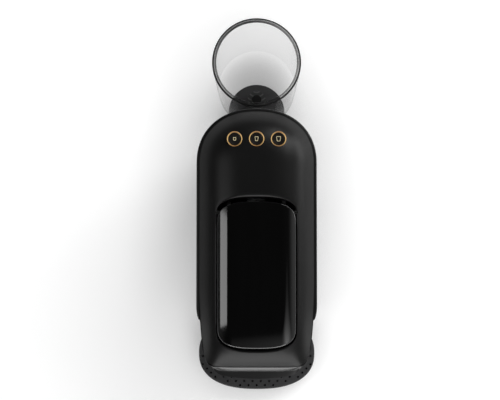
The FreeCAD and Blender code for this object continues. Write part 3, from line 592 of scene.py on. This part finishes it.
def make_lever_tablet():
    """Glossy panel: flat middle, rolled sides, a fine edge all round, hollow below."""
    half, rear_y, front_y = lever_high.x, lever_high.y, lever_low.y
    edge = tablet_edge(half, rear_y, front_y, lever_end, lever_end)
    rim = outline(edge, recess_centre_y)
    inner_end = lever_end - lever_wall
    inner = outline(tablet_edge(
        half - lever_wall, rear_y - lever_wall, front_y + lever_wall, inner_end, inner_end), recess_centre_y)
    centres = [Vector((0.0, recess_centre_y))] * len(rim)

    def height(point):
        side = min((half - abs(point.x)) / lever_roll, 1.0)
        along = (point.y - recess_centre_y) / (rear_y - recess_centre_y)
        if along > 0.0:
            drop = lever_rear_drop * along ** 2
        else:
            drop = lever_front_drop * along ** lever_front_power
        fine = lever_edge + lever_front_edge * max(-along, 0.0) ** lever_front_edge_power
        depth = min((1.0 - edge(point.x, point.y)) * half / fine, 1.0)
        rounding = 1.0 - math.sqrt(max(1.0 - (1.0 - depth) ** 2, 0.0))
        return lever_high.z - lever_roll_rise * (1.0 - side) ** 2 - drop - fine * rounding

    rings = [
        at_height(inner, lever_low.z + lever_pocket), at_height(inner, lever_low.z),
        at_height(rim, lever_low.z)]
    for step in range(lever_spans):
        share = 1.0 - (step / lever_spans) ** lever_span_power
        rings.append(lifted(blended(centres, rim, share), height))
    return skinned("lever_tablet", rings, "point", 60.0)


# Column and head front

def make_column_shell():
    """Upright column with a rounded shoulder, open at the front for the bin and the brew unit."""
    levels = [(shoulder, housing_low.z), (0.0, housing_low.z + shoulder)]
    levels += rounded_rim(shoulder, housing_high.z)
    levels += [(housing_wall, housing_high.z), (housing_wall, housing_low.z)]
    piece = skinned("column_shell", [at_height(outline(column_edge(inset), 0.0), z) for inset, z in levels])
    front = housing_low.y - opening_ahead
    back = housing_low.y + opening_depth
    bay = block(
        "bay", Vector((bin_low.x - bay_gap, front, housing_low.z - cut_spare)),
        Vector((bin_high.x + bay_gap, back, bin_high.z + bay_gap)))
    window = block(
        "window", Vector((-window_half, front, nose_low.z)),
        Vector((window_half, back, housing_high.z + cut_spare)))
    gland_hole = drum("gland_hole", gland_centre(), sideways, gland_hole_radius, gland_hole_half)
    carve(piece, [bay, window, gland_hole])
    return piece


def nose_rows():
    """Reach, bow and height of the nose's rows: down the slope, out along the lip, down the wall."""
    full_reach = nose_slope_reach + nose_lip_reach
    top = nose_high.z
    rows = []
    for step in range(nose_slope_steps + 1):
        share = step / nose_slope_steps
        rows.append((nose_slope_reach * share, 0.0, top - nose_slope_drop * share ** nose_slope_power))
    for step in range(1, nose_lip_steps + 1):
        share = step / nose_lip_steps
        drop = nose_slope_drop + nose_lip_drop * share
        rows.append((nose_slope_reach + nose_lip_reach * share, nose_lip_bow * share, top - drop))
    edge_z = rows[-1][2] - nose_lip_round
    for step in range(nose_wall_steps + 1):
        share = step / nose_wall_steps
        drawn_in = share ** nose_wall_power
        reach = full_reach - (full_reach - nose_bottom_reach) * drawn_in
        rows.append((reach, nose_lip_bow * (1.0 - drawn_in), edge_z - share * (edge_z - nose_low.z)))
    return rows, edge_z


def make_nose_shell():
    """Front of the head: a slope below the seam, a flat lip that bows out, and a wall that draws in below."""
    rows, edge_z = nose_rows()
    back_y = housing_low.y + nose_back
    middle_y = 0.5 * (cover_low.y + back_y)
    full_reach = nose_slope_reach + nose_lip_reach
    top = nose_high.z

    def ring(row, inset):
        out, bow, z = row
        half = cover_front_half - inset
        corner = max(nose_corner + nose_corner_growth * out / full_reach - inset, nose_least_corner)
        front_y = cover_low.y + inset
        raised = clamped((z - nose_low.z) / (edge_z - nose_low.z))
        places = []
        for point in outline(nose_edge(half, front_y, back_y, corner), middle_y):
            forward = max((middle_y - point.y) / (middle_y - front_y), 0.0) ** nose_forward_power
            across = point.x / half
            reach = out * (1.0 - across ** nose_side_power) + bow * (1.0 - across ** 2)
            arch = cover_height(point.x, cover_low.y) - seam_z
            places.append(Vector((point.x, point.y - forward * reach, z + arch * raised)))
        return places

    inner_rows = rows[nose_inner_first_row::nose_inner_row_step]
    rings = [ring((0.0, 0.0, top), seam_round)]
    rings += [ring(row, 0.0) for row in rows[1:]]
    rings += [ring(row, nose_wall) for row in reversed(inner_rows)]
    rings.append(ring((0.0, 0.0, top - nose_slope_drop), nose_wall))
    return skinned("nose_shell", rings, sharp_angle=30.0)


# Drip grid, tray and tank

def hole_places():
    """Staggered drain holes, kept off the grid's rim."""
    half = grid_high.x - hole_margin
    depth = 0.5 * (grid_high.y - grid_low.y) - hole_margin
    middle_y = 0.5 * (grid_high.y + grid_low.y)
    rows = int(depth / (0.5 * hole_pitch)) + 1
    columns = int(half / hole_pitch) + 1
    places = []
    for row in range(-rows, rows + 1):
        for column in range(-columns, columns + 1):
            x = (column + 0.5 * (row % 2)) * hole_pitch
            y = 0.5 * row * hole_pitch + hole_shift
            if (abs(x) / half) ** tray_power + (abs(y) / depth) ** tray_power < 1.0:
                places.append(Vector((x, middle_y + y)))
    return places


def make_drain_grid():
    """Perforated plate with a rounded rim."""
    levels = [(grid_foot, grid_low.z), (0.0, grid_low.z + grid_foot)]
    levels += rounded_rim(grid_round, grid_high.z)
    piece = skinned("drain_grid", [at_height(tray_outline(inset), z) for inset, z in levels], "cap")
    bm = bmesh.new()
    for place in hole_places():
        verts = bmesh.ops.create_cone(
            bm, segments=hole_sides, radius1=hole_radius, radius2=hole_radius, depth=hole_depth,
            cap_ends=True)["verts"]
        bmesh.ops.translate(bm, vec=Vector((place.x, place.y, grid_high.z)), verts=verts)
    carve(piece, [link("drain_holes", bm)])
    return piece


def make_tray_bowl():
    """Shallow bowl under the grid."""
    levels = (
        (tray_wall + tray_foot_inset, tray_low.z), (tray_wall, tray_low.z + tray_foot_rise),
        (tray_side_inset, tray_high.z - tray_top_round), (tray_top_inset, tray_high.z),
        (tray_wall, tray_high.z), (2.0 * tray_wall, tray_low.z + tray_wall))
    return skinned("tray_bowl", [at_height(tray_outline(inset), z) for inset, z in levels], "cap")


def tank_centre():
    middle = middle_of(tank_low, tank_high)
    return Vector((middle.x, middle.y, tank_low.z))


def make_clear_tank():
    """Open tank with a beaded rim, a rounded foot and the hole that its valve sits in."""
    radius = tank_high.x
    height = tank_high.z - tank_low.z
    profile = [(0.0, 0.0)]
    for turn in quarter_turns(6):
        profile.append((radius - tank_wall * (1.0 - math.sin(turn)), tank_wall * (1.0 - math.cos(turn))))
    for corner, start in ((radius - tank_lip, 0.0), (radius - tank_rim_width + tank_lip, 0.5 * math.pi)):
        for turn in quarter_turns(5):
            out = tank_lip * math.cos(start + turn)
            rise = tank_lip * math.sin(start + turn)
            profile.append((corner + out, height - tank_lip + rise))
    profile.append((radius - tank_rim_width, height - tank_rim_height))
    profile.append((radius - tank_wall, height - 1.5 * tank_rim_height))
    for turn in quarter_turns(6):
        inset = tank_wall + tank_wall * (1.0 - math.cos(turn))
        profile.append((radius - inset, tank_floor + tank_wall * (1.0 - math.sin(turn))))
    profile.append((0.0, tank_floor))
    piece = spun("clear_tank", profile, tank_centre(), upwards, tank_steps)
    valve = Vector((0.0, middle_of(valve_low, valve_high).y, tank_low.z))
    neck = drum("neck", valve, upwards, tank_neck_radius, tank_neck_half)
    pocket = drum("pocket", valve, upwards, tank_pocket_radius, tank_pocket_half)
    carve(piece, [neck, pocket])
    return piece


# Buttons

def top_centre(node):
    """Middle of a node's top, seen from above."""
    low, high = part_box(node)
    middle = middle_of(low, high)
    return Vector((middle.x, middle.y, high.z))


def half_width(node):
    low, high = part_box(node)
    return 0.5 * (high.x - low.x)


def depth_below_top(node):
    low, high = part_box(node)
    return low.z - high.z


def ring_centre(size):
    return top_centre("light_ring_" + size)


def ring_radius(size):
    return half_width("light_ring_" + size)


def make_glow_ring(size):
    """Thin ring with a rounded top."""
    radius = ring_radius(size)
    deep = depth_below_top("light_ring_" + size)
    half = 0.5 * ring_width
    profile = [(radius - ring_width, deep), (radius, deep)]
    for step in range(9):
        turn = math.pi * step / 8
        profile.append((radius - half + half * math.cos(turn), -half + half * math.sin(turn)))
    return spun("glow_ring_" + size, profile, ring_centre(size), upwards, ring_steps)


def make_press_cap(size):
    """Button cap with a softly dished top and a stem below."""
    node = "button_" + size
    radius = half_width(node)
    deep = depth_below_top(node)
    stem = cap_stem_share * radius
    profile = [(0.0, deep), (stem, deep), (stem, -cap_skirt), (radius, -cap_skirt), (radius, -cap_edge)]
    for turn in quarter_turns(4)[1:]:
        profile.append((radius - cap_edge * (1.0 - math.cos(turn)), -cap_edge + cap_edge * math.sin(turn)))
    for share in (0.85, 0.7, 0.5, 0.25, 0.0):
        profile.append((radius * share, -cap_dish * (1.0 - share ** 2)))
    return spun("press_cap_" + size, profile, top_centre(node), upwards)


def make_cup_mark(size):
    """Plain cup picture, standing a hair above the button's dished top."""
    centre = top_centre("button_" + size)
    base = centre.z - cap_dish

    def squared(share):
        return math.copysign(abs(share) ** icon_squareness, share)

    def ring(inset, z):
        points = []
        for step in range(icon_points):
            turn = 2.0 * math.pi * step / icon_points
            across = squared(math.cos(turn))
            along = squared(math.sin(turn))
            wide = icon_half_widths[size] * (1.0 + icon_tapers[size] * (along - 1.0)) - inset
            high = icon_half_heights[size] - inset
            points.append(Vector((centre.x + across * wide, centre.y + along * high, base + z)))
        return points

    rings = [
        ring(0.0, -icon_root), ring(0.0, icon_height), ring(icon_line, icon_height),
        ring(icon_line, -icon_root)]
    return skinned("cup_mark_" + size, rings)


# Gland, spout and bin front

def gland_centre():
    middle = middle_of(gland_low, gland_high)
    return Vector((housing_high.x, middle.y, middle.z))


def make_gland_bush():
    """Rubber bush with a flange outside the wall."""
    flange = 0.5 * (gland_high.z - gland_low.z)
    out = gland_high.x - housing_high.x
    inside = gland_low.x - housing_high.x
    profile = [
        (gland_bore, inside), (gland_neck, inside), (gland_neck, 0.0), (flange, 0.0),
        (flange, gland_edge_share * out), (flange - gland_edge, out), (gland_bore + gland_mouth, out),
        (gland_bore, out - gland_mouth_depth)]
    return spun("gland_bush", profile, gland_centre(), sideways)


def make_spout_nozzle():
    """Nozzle below the head, its flange on the head's floor and a funnel above."""
    centre = Vector((0.0, middle_of(spout_low, spout_high).y, spout_low.z))
    height = spout_high.z - spout_low.z
    collar = nose_low.z + head_floor - spout_low.z
    flange_top = collar + spout_flange_height
    profile = [
        (spout_bore, spout_mouth_depth), (spout_mouth, 0.0), (spout_tip, 0.0),
        (spout_tip_edge, spout_tip_rise), spout_waist, spout_hip, (spout_body, collar - head_floor),
        (spout_body, collar), (spout_flange, collar), (spout_flange, flange_top),
        (spout_funnel_outside, height), (spout_funnel_inside, height), (spout_funnel_inside, flange_top),
        (spout_bore, collar)]
    return spun("spout_nozzle", profile, centre, upwards)


def make_bin_panel():
    """Front of the pod bin with a scooped finger grip at its top edge."""
    panel = block("bin_panel", bin_low, bin_high, bin_round)
    grip_centre = Vector((0.0, bin_low.y - grip_ahead, bin_high.z))
    carve(panel, [drum("grip", grip_centre, sideways, grip_radius, grip_half)])
    return panel


# Finishes

class Value:
    """A shader socket that takes part in Python expressions."""

    def __init__(self, graph, socket):
        self.graph = graph
        self.socket = socket

    def _math(self, operation, first, second):
        return self.graph.node("ShaderNodeMath", {"operation": operation}, {0: first, 1: second})

    def __add__(self, other):
        return self._math("ADD", self, other)

    def __sub__(self, other):
        return self._math("SUBTRACT", self, other)

    def __rsub__(self, other):
        return self._math("SUBTRACT", other, self)

    def __mul__(self, other):
        return self._math("MULTIPLY", self, other)

    def __pow__(self, other):
        return self._math("POWER", self, other)

    __radd__ = __add__
    __rmul__ = __mul__


class Graph:
    """A node tree, with one method that adds any node."""

    def __init__(self, tree):
        self.tree = tree

    def set(self, node, key, value):
        if isinstance(value, Value):
            self.tree.links.new(value.socket, node.inputs[key])
        else:
            node.inputs[key].default_value = value

    def node(self, kind, settings=None, inputs=None, output=0):
        node = self.tree.nodes.new(kind)
        for key, value in (settings or {}).items():
            setattr(node, key, value)
        for key, value in (inputs or {}).items():
            self.set(node, key, value)
        return Value(self, node.outputs[output])

    def parts(self, vector):
        """X, Y and Z of a vector."""
        first = self.node("ShaderNodeSeparateXYZ", {}, {0: vector})
        return [Value(self, socket) for socket in first.socket.node.outputs]

    def ramp(self, value, low, high, first=0.0, last=1.0, kind="SMOOTHSTEP"):
        """Step from first at low to last at high."""
        inputs = {"Value": value, "From Min": low, "From Max": high, "To Min": first, "To Max": last}
        return self.node("ShaderNodeMapRange", {"interpolation_type": kind}, inputs)

    def ping_pong(self, value, scale):
        """Rises from 0 to the scale and falls back, over and over."""
        return self.node("ShaderNodeMath", {"operation": "PINGPONG"}, {0: value, 1: scale})


class Finish(Graph):
    """A material with one Principled shader."""

    def __init__(self, name, color, roughness, **constants):
        self.material = bpy.data.materials.new(name)
        self.material.use_nodes = True
        super().__init__(self.material.node_tree)
        self.shader = self.tree.nodes["Principled BSDF"]
        self.set(self.shader, "Base Color", (*color, 1.0))
        self.set(self.shader, "Roughness", roughness)
        for socket, value in constants.items():
            self.set(self.shader, socket.replace("_", " "), value)

    def place(self):
        return self.node("ShaderNodeTexCoord", output="Object")

    def noise(self, scale, detail, place=None):
        inputs = {"Vector": place or self.place(), "Scale": scale, "Detail": detail}
        return self.node("ShaderNodeTexNoise", {}, inputs)

    def stretched(self, scale):
        return self.node("ShaderNodeMapping", {}, {"Vector": self.place(), "Scale": scale})

    def mixed(self, mask, first, second):
        inputs = {"Factor": mask, 6: (*first, 1.0), 7: (*second, 1.0)}
        return self.node("ShaderNodeMix", {"data_type": "RGBA"}, inputs, 2)

    def between(self, mask, first, second):
        """Base colour that runs from the first to the second with a mask."""
        self.set(self.shader, "Base Color", self.mixed(mask, first, second))

    def glow_between(self, mask, first, second):
        """Emission colour that runs from the first to the second with a mask."""
        self.set(self.shader, "Emission Color", self.mixed(mask, first, second))

    def rough(self, value):
        self.set(self.shader, "Roughness", value)

    def bump(self, height, strength, distance):
        inputs = {"Height": height, "Strength": strength, "Distance": distance}
        self.set(self.shader, "Normal", self.node("ShaderNodeBump", {}, inputs))


def satin_black():
    """Moulded black plastic with a fine spark-eroded grain."""
    finish = Finish("satin_black", (0.006, 0.006, 0.006), 0.35, Specular_IOR_Level=0.18)
    grain = finish.noise(2600.0, 2.0)
    cloud = finish.noise(24.0, 2.0)
    finish.between(cloud, (0.005, 0.005, 0.005), (0.007, 0.007, 0.007))
    finish.rough(0.29 + 0.06 * cloud + 0.06 * grain)
    finish.bump(grain, 0.12, 0.0002)
    return finish.material


def trim_black():
    """Smoother black of the head's front."""
    finish = Finish("trim_black", (0.015, 0.015, 0.015), 0.22, Specular_IOR_Level=0.42)
    cloud = finish.noise(60.0, 3.0)
    finish.between(cloud, (0.014, 0.014, 0.014), (0.017, 0.017, 0.017))
    finish.rough(0.18 + 0.08 * cloud)
    return finish.material


def gloss_black():
    """Polished black panel with the faintest wipe marks."""
    finish = Finish("gloss_black", (0.002, 0.002, 0.002), 0.08, Specular_IOR_Level=0.9)
    wipe = finish.noise(1.0, 4.0, finish.stretched((90.0, 12.0, 90.0)))
    finish.between(wipe, (0.0015, 0.0015, 0.0015), (0.0025, 0.0025, 0.0025))
    finish.rough(0.06 + 0.05 * wipe)
    return finish.material


def grid_black():
    """Matte black of the tray, its grid and the base."""
    finish = Finish("grid_black", (0.026, 0.026, 0.027), 0.55)
    grain = finish.noise(1900.0, 2.0)
    stain = finish.noise(40.0, 4.0)
    finish.between(stain, (0.015, 0.015, 0.016), (0.022, 0.022, 0.023))
    finish.rough(0.46 + 0.12 * grain)
    finish.bump(grain, 0.2, 0.00025)
    return finish.material


def cap_black():
    """Satin black of the button caps."""
    finish = Finish("cap_black", (0.008, 0.007, 0.006), 0.3, Specular_IOR_Level=0.2)
    cloud = finish.noise(500.0, 2.0)
    finish.between(cloud, (0.007, 0.006, 0.006), (0.011, 0.01, 0.009))
    finish.rough(0.28 + 0.1 * cloud)
    return finish.material


def round_tank(finish):
    """Place seen from the tank's axis: across, along, height and distance."""
    x, y, z = finish.parts(finish.place())
    centre = tank_centre()
    across = x - centre.x
    along = y - centre.y
    return across, along, z, (across * across + along * along) ** 0.5


def outlet_rings(finish, distance):
    """Fine rings at even steps round the tank's outlet."""
    wave = finish.ping_pong(distance, valve_ring_step)
    return 1.0 - finish.ramp(wave, 0.1 * valve_ring_step, 0.5 * valve_ring_step)


def valve_black():
    """Black plastic with pale moulded rings round the tank's outlet."""
    finish = Finish("valve_black", (0.02, 0.02, 0.02), 0.4, Specular_IOR_Level=0.3)
    _, _, _, distance = round_tank(finish)
    finish.between(outlet_rings(finish, distance), (0.02, 0.02, 0.02), (0.06, 0.06, 0.06))
    finish.rough(0.35 + 0.1 * finish.noise(200.0, 2.0))
    return finish.material


def clear_plastic():
    """Clear wall that shows most at grazing angles, with painted shade on the rim (dark lines along its
    edges, more towards the rear left) and rings in the floor.
    """
    finish = Finish("clear_plastic", (0.02, 0.02, 0.02), 0.1, IOR=1.1)
    across, along, z, distance = round_tank(finish)
    radius = tank_high.x
    inner = radius - tank_rim_width
    rim = finish.ramp(z, tank_high.z - 1.2 * tank_rim_height, tank_high.z - tank_rim_height)
    # Painted shade along the rim: dark lines at its outer and inner edges, and more shade towards the rear
    # left.
    outside = finish.ramp(distance, radius - 1.3 * tank_line, radius - 0.7 * tank_line)
    inside = 1.0 - finish.ramp(distance, inner + 0.7 * tank_line, inner + 1.3 * tank_line)
    line = 0.6 * outside + 0.25 * inside
    wobble = finish.noise(22.0, 1.0)
    painted_shade_rear_left = 0.5 + (along - across) * (0.35 / radius)
    low = 1.0 - finish.ramp(z, tank_floor + 2.0 * tank_wall, tank_floor + 3.0 * tank_wall)
    near = 1.0 - finish.ramp(distance, 3.5 * valve_ring_step, 4.5 * valve_ring_step)
    rings = low * near * outlet_rings(finish, distance)
    finish.between(rings, (0.02, 0.02, 0.02), (0.3, 0.3, 0.3))
    facing = finish.node("ShaderNodeLayerWeight", {}, {"Blend": 0.5}, "Facing")
    outer_skin = finish.ramp(distance, radius - 0.7 * tank_wall, radius - 0.3 * tank_wall)
    wall = 0.03 + outer_skin * (0.15 * facing ** 3.0 + 0.5 * facing ** 16.0) + 0.35 * rings
    # The rim's opacity over the dark base is painted shade; the noise only makes it vary at random.
    finish.set(finish.shader, "Alpha", wall + rim * (0.15 + 0.4 * wobble + 0.35 * painted_shade_rear_left + line))
    return finish.material


def ring_glow():
    """Lit ring, gold at its sides and browner towards the front and rear."""
    finish = Finish("amber_ring", (0.25, 0.13, 0.04), 0.3, Emission_Strength=0.55)
    _, y, _ = finish.parts(finish.place())
    away = (y - ring_centre("medium").y) * (1.0 / ring_radius("medium"))
    finish.glow_between(away * away, (1.0, 0.68, 0.28), (0.16, 0.06, 0.02))
    return finish.material


def cup_glow():
    """Cream lit cup picture."""
    finish = Finish("cream_mark", (0.3, 0.26, 0.17), 0.4, Emission_Strength=0.7)
    finish.glow_between(finish.noise(400.0, 2.0), (1.0, 0.82, 0.45), (1.0, 0.9, 0.58))
    return finish.material


def moulded(name, dark, light, roughness):
    """Plain moulded plastic or rubber."""
    finish = Finish(name, dark, roughness)
    grain = finish.noise(1500.0, 2.0)
    finish.between(finish.noise(70.0, 3.0), dark, light)
    finish.rough(roughness - 0.05 + 0.1 * grain)
    finish.bump(grain, 0.15, 0.0002)
    return finish.material


def metal(name, dark, light, roughness, scale):
    """Machined or cast metal with streaks along one way."""
    finish = Finish(name, light, roughness, Metallic=1.0)
    streak = finish.noise(1.0, 4.0, finish.stretched(scale))
    finish.between(streak, dark, light)
    finish.rough(roughness - 0.08 + 0.18 * streak)
    finish.bump(streak, 0.1, 0.0001)
    return finish.material


def solder_mask():
    """Green board with paler copper runs under the lacquer."""
    finish = Finish("solder_mask", (0.01, 0.09, 0.03), 0.3)
    runs = finish.node(
        "ShaderNodeTexBrick", {"offset": 0.5},
        {"Vector": finish.stretched((260.0, 260.0, 260.0)), "Mortar Size": 0.08}, "Fac")
    finish.between(runs, (0.008, 0.07, 0.025), (0.03, 0.16, 0.06))
    return finish.material


# Dressing the frame

def finishes():
    return {
        "satin_black": satin_black(),
        "trim_black": trim_black(),
        "valve_black": valve_black(),
        "gloss_black": gloss_black(),
        "grid_black": grid_black(),
        "clear_tank": clear_plastic(),
        "light_ring": ring_glow(),
        "cup_mark": cup_glow(),
        "button_cap": cap_black(),
        "inner_grey": moulded("inner_grey", (0.14, 0.14, 0.145), (0.19, 0.19, 0.195), 0.5),
        "rubber": moulded("rubber", (0.018, 0.018, 0.018), (0.03, 0.03, 0.03), 0.75),
        "silicone": moulded("silicone", (0.58, 0.56, 0.5), (0.72, 0.7, 0.64), 0.45),
        "steel": metal("steel", (0.5, 0.5, 0.52), (0.68, 0.68, 0.7), 0.28, (900.0, 40.0, 900.0)),
        "cast_metal": metal(
            "cast_metal", (0.42, 0.43, 0.45), (0.6, 0.61, 0.63), 0.42, (500.0, 500.0, 500.0)),
        # Painted shade: the steel lever pin is made near-black so that it reads as the shaded gap it crosses.
        "painted_shade_pin": metal(
            "painted_shade_pin", (0.012, 0.012, 0.012), (0.03, 0.03, 0.03), 0.5, (40.0, 900.0, 900.0)),
        "board": solder_mask(),
    }


def paint(piece, material):
    piece.data.materials.clear()
    piece.data.materials.append(material)


def dress(piece, body, material, slot, *replaced):
    """Gives a new piece its finish and its body, and hides the CAD nodes that it stands for. The slot is not
    used.
    """
    paint(piece, material)
    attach(piece, body)
    if replaced:
        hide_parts(*replaced)


def dress_frame(paints):
    """Paints every CAD node, then adds the new pieces."""
    for subpart in frame["record"]["subparts"]:
        paint(nodes[subpart["node"]], paints[subpart["material_slot"]])
    # The lever pin gets painted shade: near-black, like the gap it sits in.
    paint(nodes["lever_pin"], paints["painted_shade_pin"])
    paint(nodes["tank_valve"], paints["valve_black"])
    paint(nodes["base_plate"], paints["grid_black"])
    dress(make_cover_shell(), "chassis", paints["satin_black"], "satin_black", "top_cover")
    dress(make_recess_floor(), "chassis", paints["satin_black"], "satin_black")
    dress(make_column_shell(), "chassis", paints["satin_black"], "satin_black", "main_housing")
    dress(make_nose_shell(), "chassis", paints["trim_black"], "satin_black", "head_front")
    dress(make_spout_nozzle(), "chassis", paints["satin_black"], "satin_black", "coffee_spout")
    dress(make_gland_bush(), "chassis", paints["rubber"], "rubber", "cord_gland")
    dress(make_lever_tablet(), "lever", paints["gloss_black"], "gloss_black", "lever_panel")
    dress(make_drain_grid(), "grid", paints["grid_black"], "grid_black", "drip_grid")
    dress(make_tray_bowl(), "tray", paints["grid_black"], "grid_black", "drip_tray")
    dress(make_clear_tank(), "tank", paints["clear_tank"], "clear_tank", "water_tank")
    dress(make_bin_panel(), "bin", paints["satin_black"], "satin_black", "bin_front")
    for size in sizes:
        dress(make_glow_ring(size), "chassis", paints["light_ring"], "light_ring", "light_ring_" + size)
        dress(make_press_cap(size), "button_" + size, paints["button_cap"], "button_cap", "button_" + size)
        dress(make_cup_mark(size), "button_" + size, paints["cup_mark"], "light_ring")


# Studio

camera_height = 1.2
nadir_y = -34.4 * MM
aim = Vector((-7.4 * MM, 21.4 * MM, 0.0))
image_width_px = 500.0
focal_px = 1075.0
sensor_width = 36.0
floor_half = 4.0
floor_lift = 0.33
shade_reach = 0.095
walls_light = 0.4
walls_top = 0.45
ceiling_light = 0.02
ceiling_start = 0.85
left_wall_share = 0.25
wall_turn = 0.6
fade_gain = 8.0


def make_camera():
    """Camera above the counter, with the rear of the machine at the top of the picture."""
    data = bpy.data.cameras.new("camera")
    data.sensor_fit = "HORIZONTAL"
    data.sensor_width = sensor_width
    data.lens = focal_px / image_width_px * sensor_width
    camera = bpy.data.objects.new("camera", data)
    camera.location = Vector((0.0, nadir_y, camera_height))
    back = (camera.location - aim).normalized()
    right = Vector((0, 1, 0)).cross(back).normalized()
    camera.rotation_euler = Matrix((right, back.cross(right), back)).transposed().to_euler()
    bpy.context.scene.collection.objects.link(camera)
    bpy.context.scene.camera = camera


def make_softbox(name, place, target, width, height, power):
    data = bpy.data.lights.new(name, "AREA")
    data.shape = "RECTANGLE"
    data.size = width
    data.size_y = height
    data.energy = power
    light = bpy.data.objects.new(name, data)
    light.location = place
    light.rotation_euler = (target - place).to_track_quat("-Z", "Y").to_euler()
    bpy.context.scene.collection.objects.link(light)
    return data


def fade_edges(data):
    """Makes a lamp brightest in its middle, dying away to its edges."""
    data.use_nodes = True
    graph = Graph(data.node_tree)
    across, along, _ = graph.parts(graph.node("ShaderNodeNewGeometry", output="Parametric"))
    hump = graph.ping_pong(across, 0.5) * graph.ping_pong(along, 0.5)
    graph.set(graph.tree.nodes["Emission"], "Strength", hump * fade_gain)


def make_floor():
    """White counter with a painted contact shadow close to the machine, and a glow that lifts it to white
    where it is seen.
    """
    bm = bmesh.new()
    bmesh.ops.create_grid(bm, x_segments=1, y_segments=1, size=floor_half)
    floor = link("floor", bm)
    finish = Finish("white_counter", (0.95, 0.95, 0.95), 0.9, Specular_IOR_Level=0.0)
    # Painted shadow: ambient occlusion darkens the counter's colour close to the machine.
    open_sky = finish.node("ShaderNodeAmbientOcclusion", {"samples": 8}, {"Distance": shade_reach}, "AO")
    painted_shadow_mask = open_sky * (0.98 + 0.02 * finish.noise(3.0, 2.0))
    finish.between(painted_shadow_mask, (0.02, 0.02, 0.02), (0.97, 0.97, 0.97))
    seen = finish.node("ShaderNodeLightPath", output="Is Camera Ray")
    mirrored = finish.node("ShaderNodeLightPath", output="Is Glossy Ray")
    through = finish.node("ShaderNodeLightPath", output="Is Transmission Ray")
    lift = finish.node("ShaderNodeEmission", {}, {"Strength": floor_lift * (seen + mirrored + through)})
    both = finish.node("ShaderNodeAddShader", {}, {0: Value(finish, finish.shader.outputs[0]), 1: lift})
    finish.set(finish.tree.nodes["Material Output"], "Surface", both)
    paint(floor, finish.material)


def make_world():
    """Pale walls, dimmer on the left, under a dark ceiling."""
    world = bpy.data.worlds.new("studio")
    bpy.context.scene.world = world
    world.use_nodes = True
    graph = Graph(world.node_tree)
    x, _, z = graph.parts(graph.node("ShaderNodeTexCoord", output="Generated"))
    height_share = graph.ramp(z, walls_top, ceiling_start, walls_light, ceiling_light)
    side_share = graph.ramp(x, -wall_turn, wall_turn, left_wall_share, 1.0, "LINEAR")
    background = graph.tree.nodes["Background"]
    graph.set(background, "Color", (1.0, 1.0, 1.0, 1.0))
    graph.set(background, "Strength", height_share * side_share)


def make_studio():
    middle = Vector((0.0, 0.0, 0.15))
    make_softbox("left_box", Vector((-1.1, -0.11, 1.5)), Vector((0.0, -0.11, 0.15)), 0.62, 1.06, 5.4)
    make_softbox("rear_box", Vector((0.85, 1.05, 1.25)), middle, 1.1, 0.9, 17.0)
    make_softbox("right_box", Vector((1.4, 0.6, 0.5)), middle, 1.0, 0.5, 8.0)
    make_softbox("front_box", Vector((0.05, -1.5, 0.6)), middle, 1.4, 0.5, 15.0)
    fade_edges(make_softbox("corner_box", Vector((0.65, -0.8, 1.45)), middle, 1.4, 1.4, 6.0))
    make_floor()
    make_world()
    make_camera()
    bpy.context.scene.view_settings.view_transform = "Standard"


dress_frame(finishes())
make_studio()
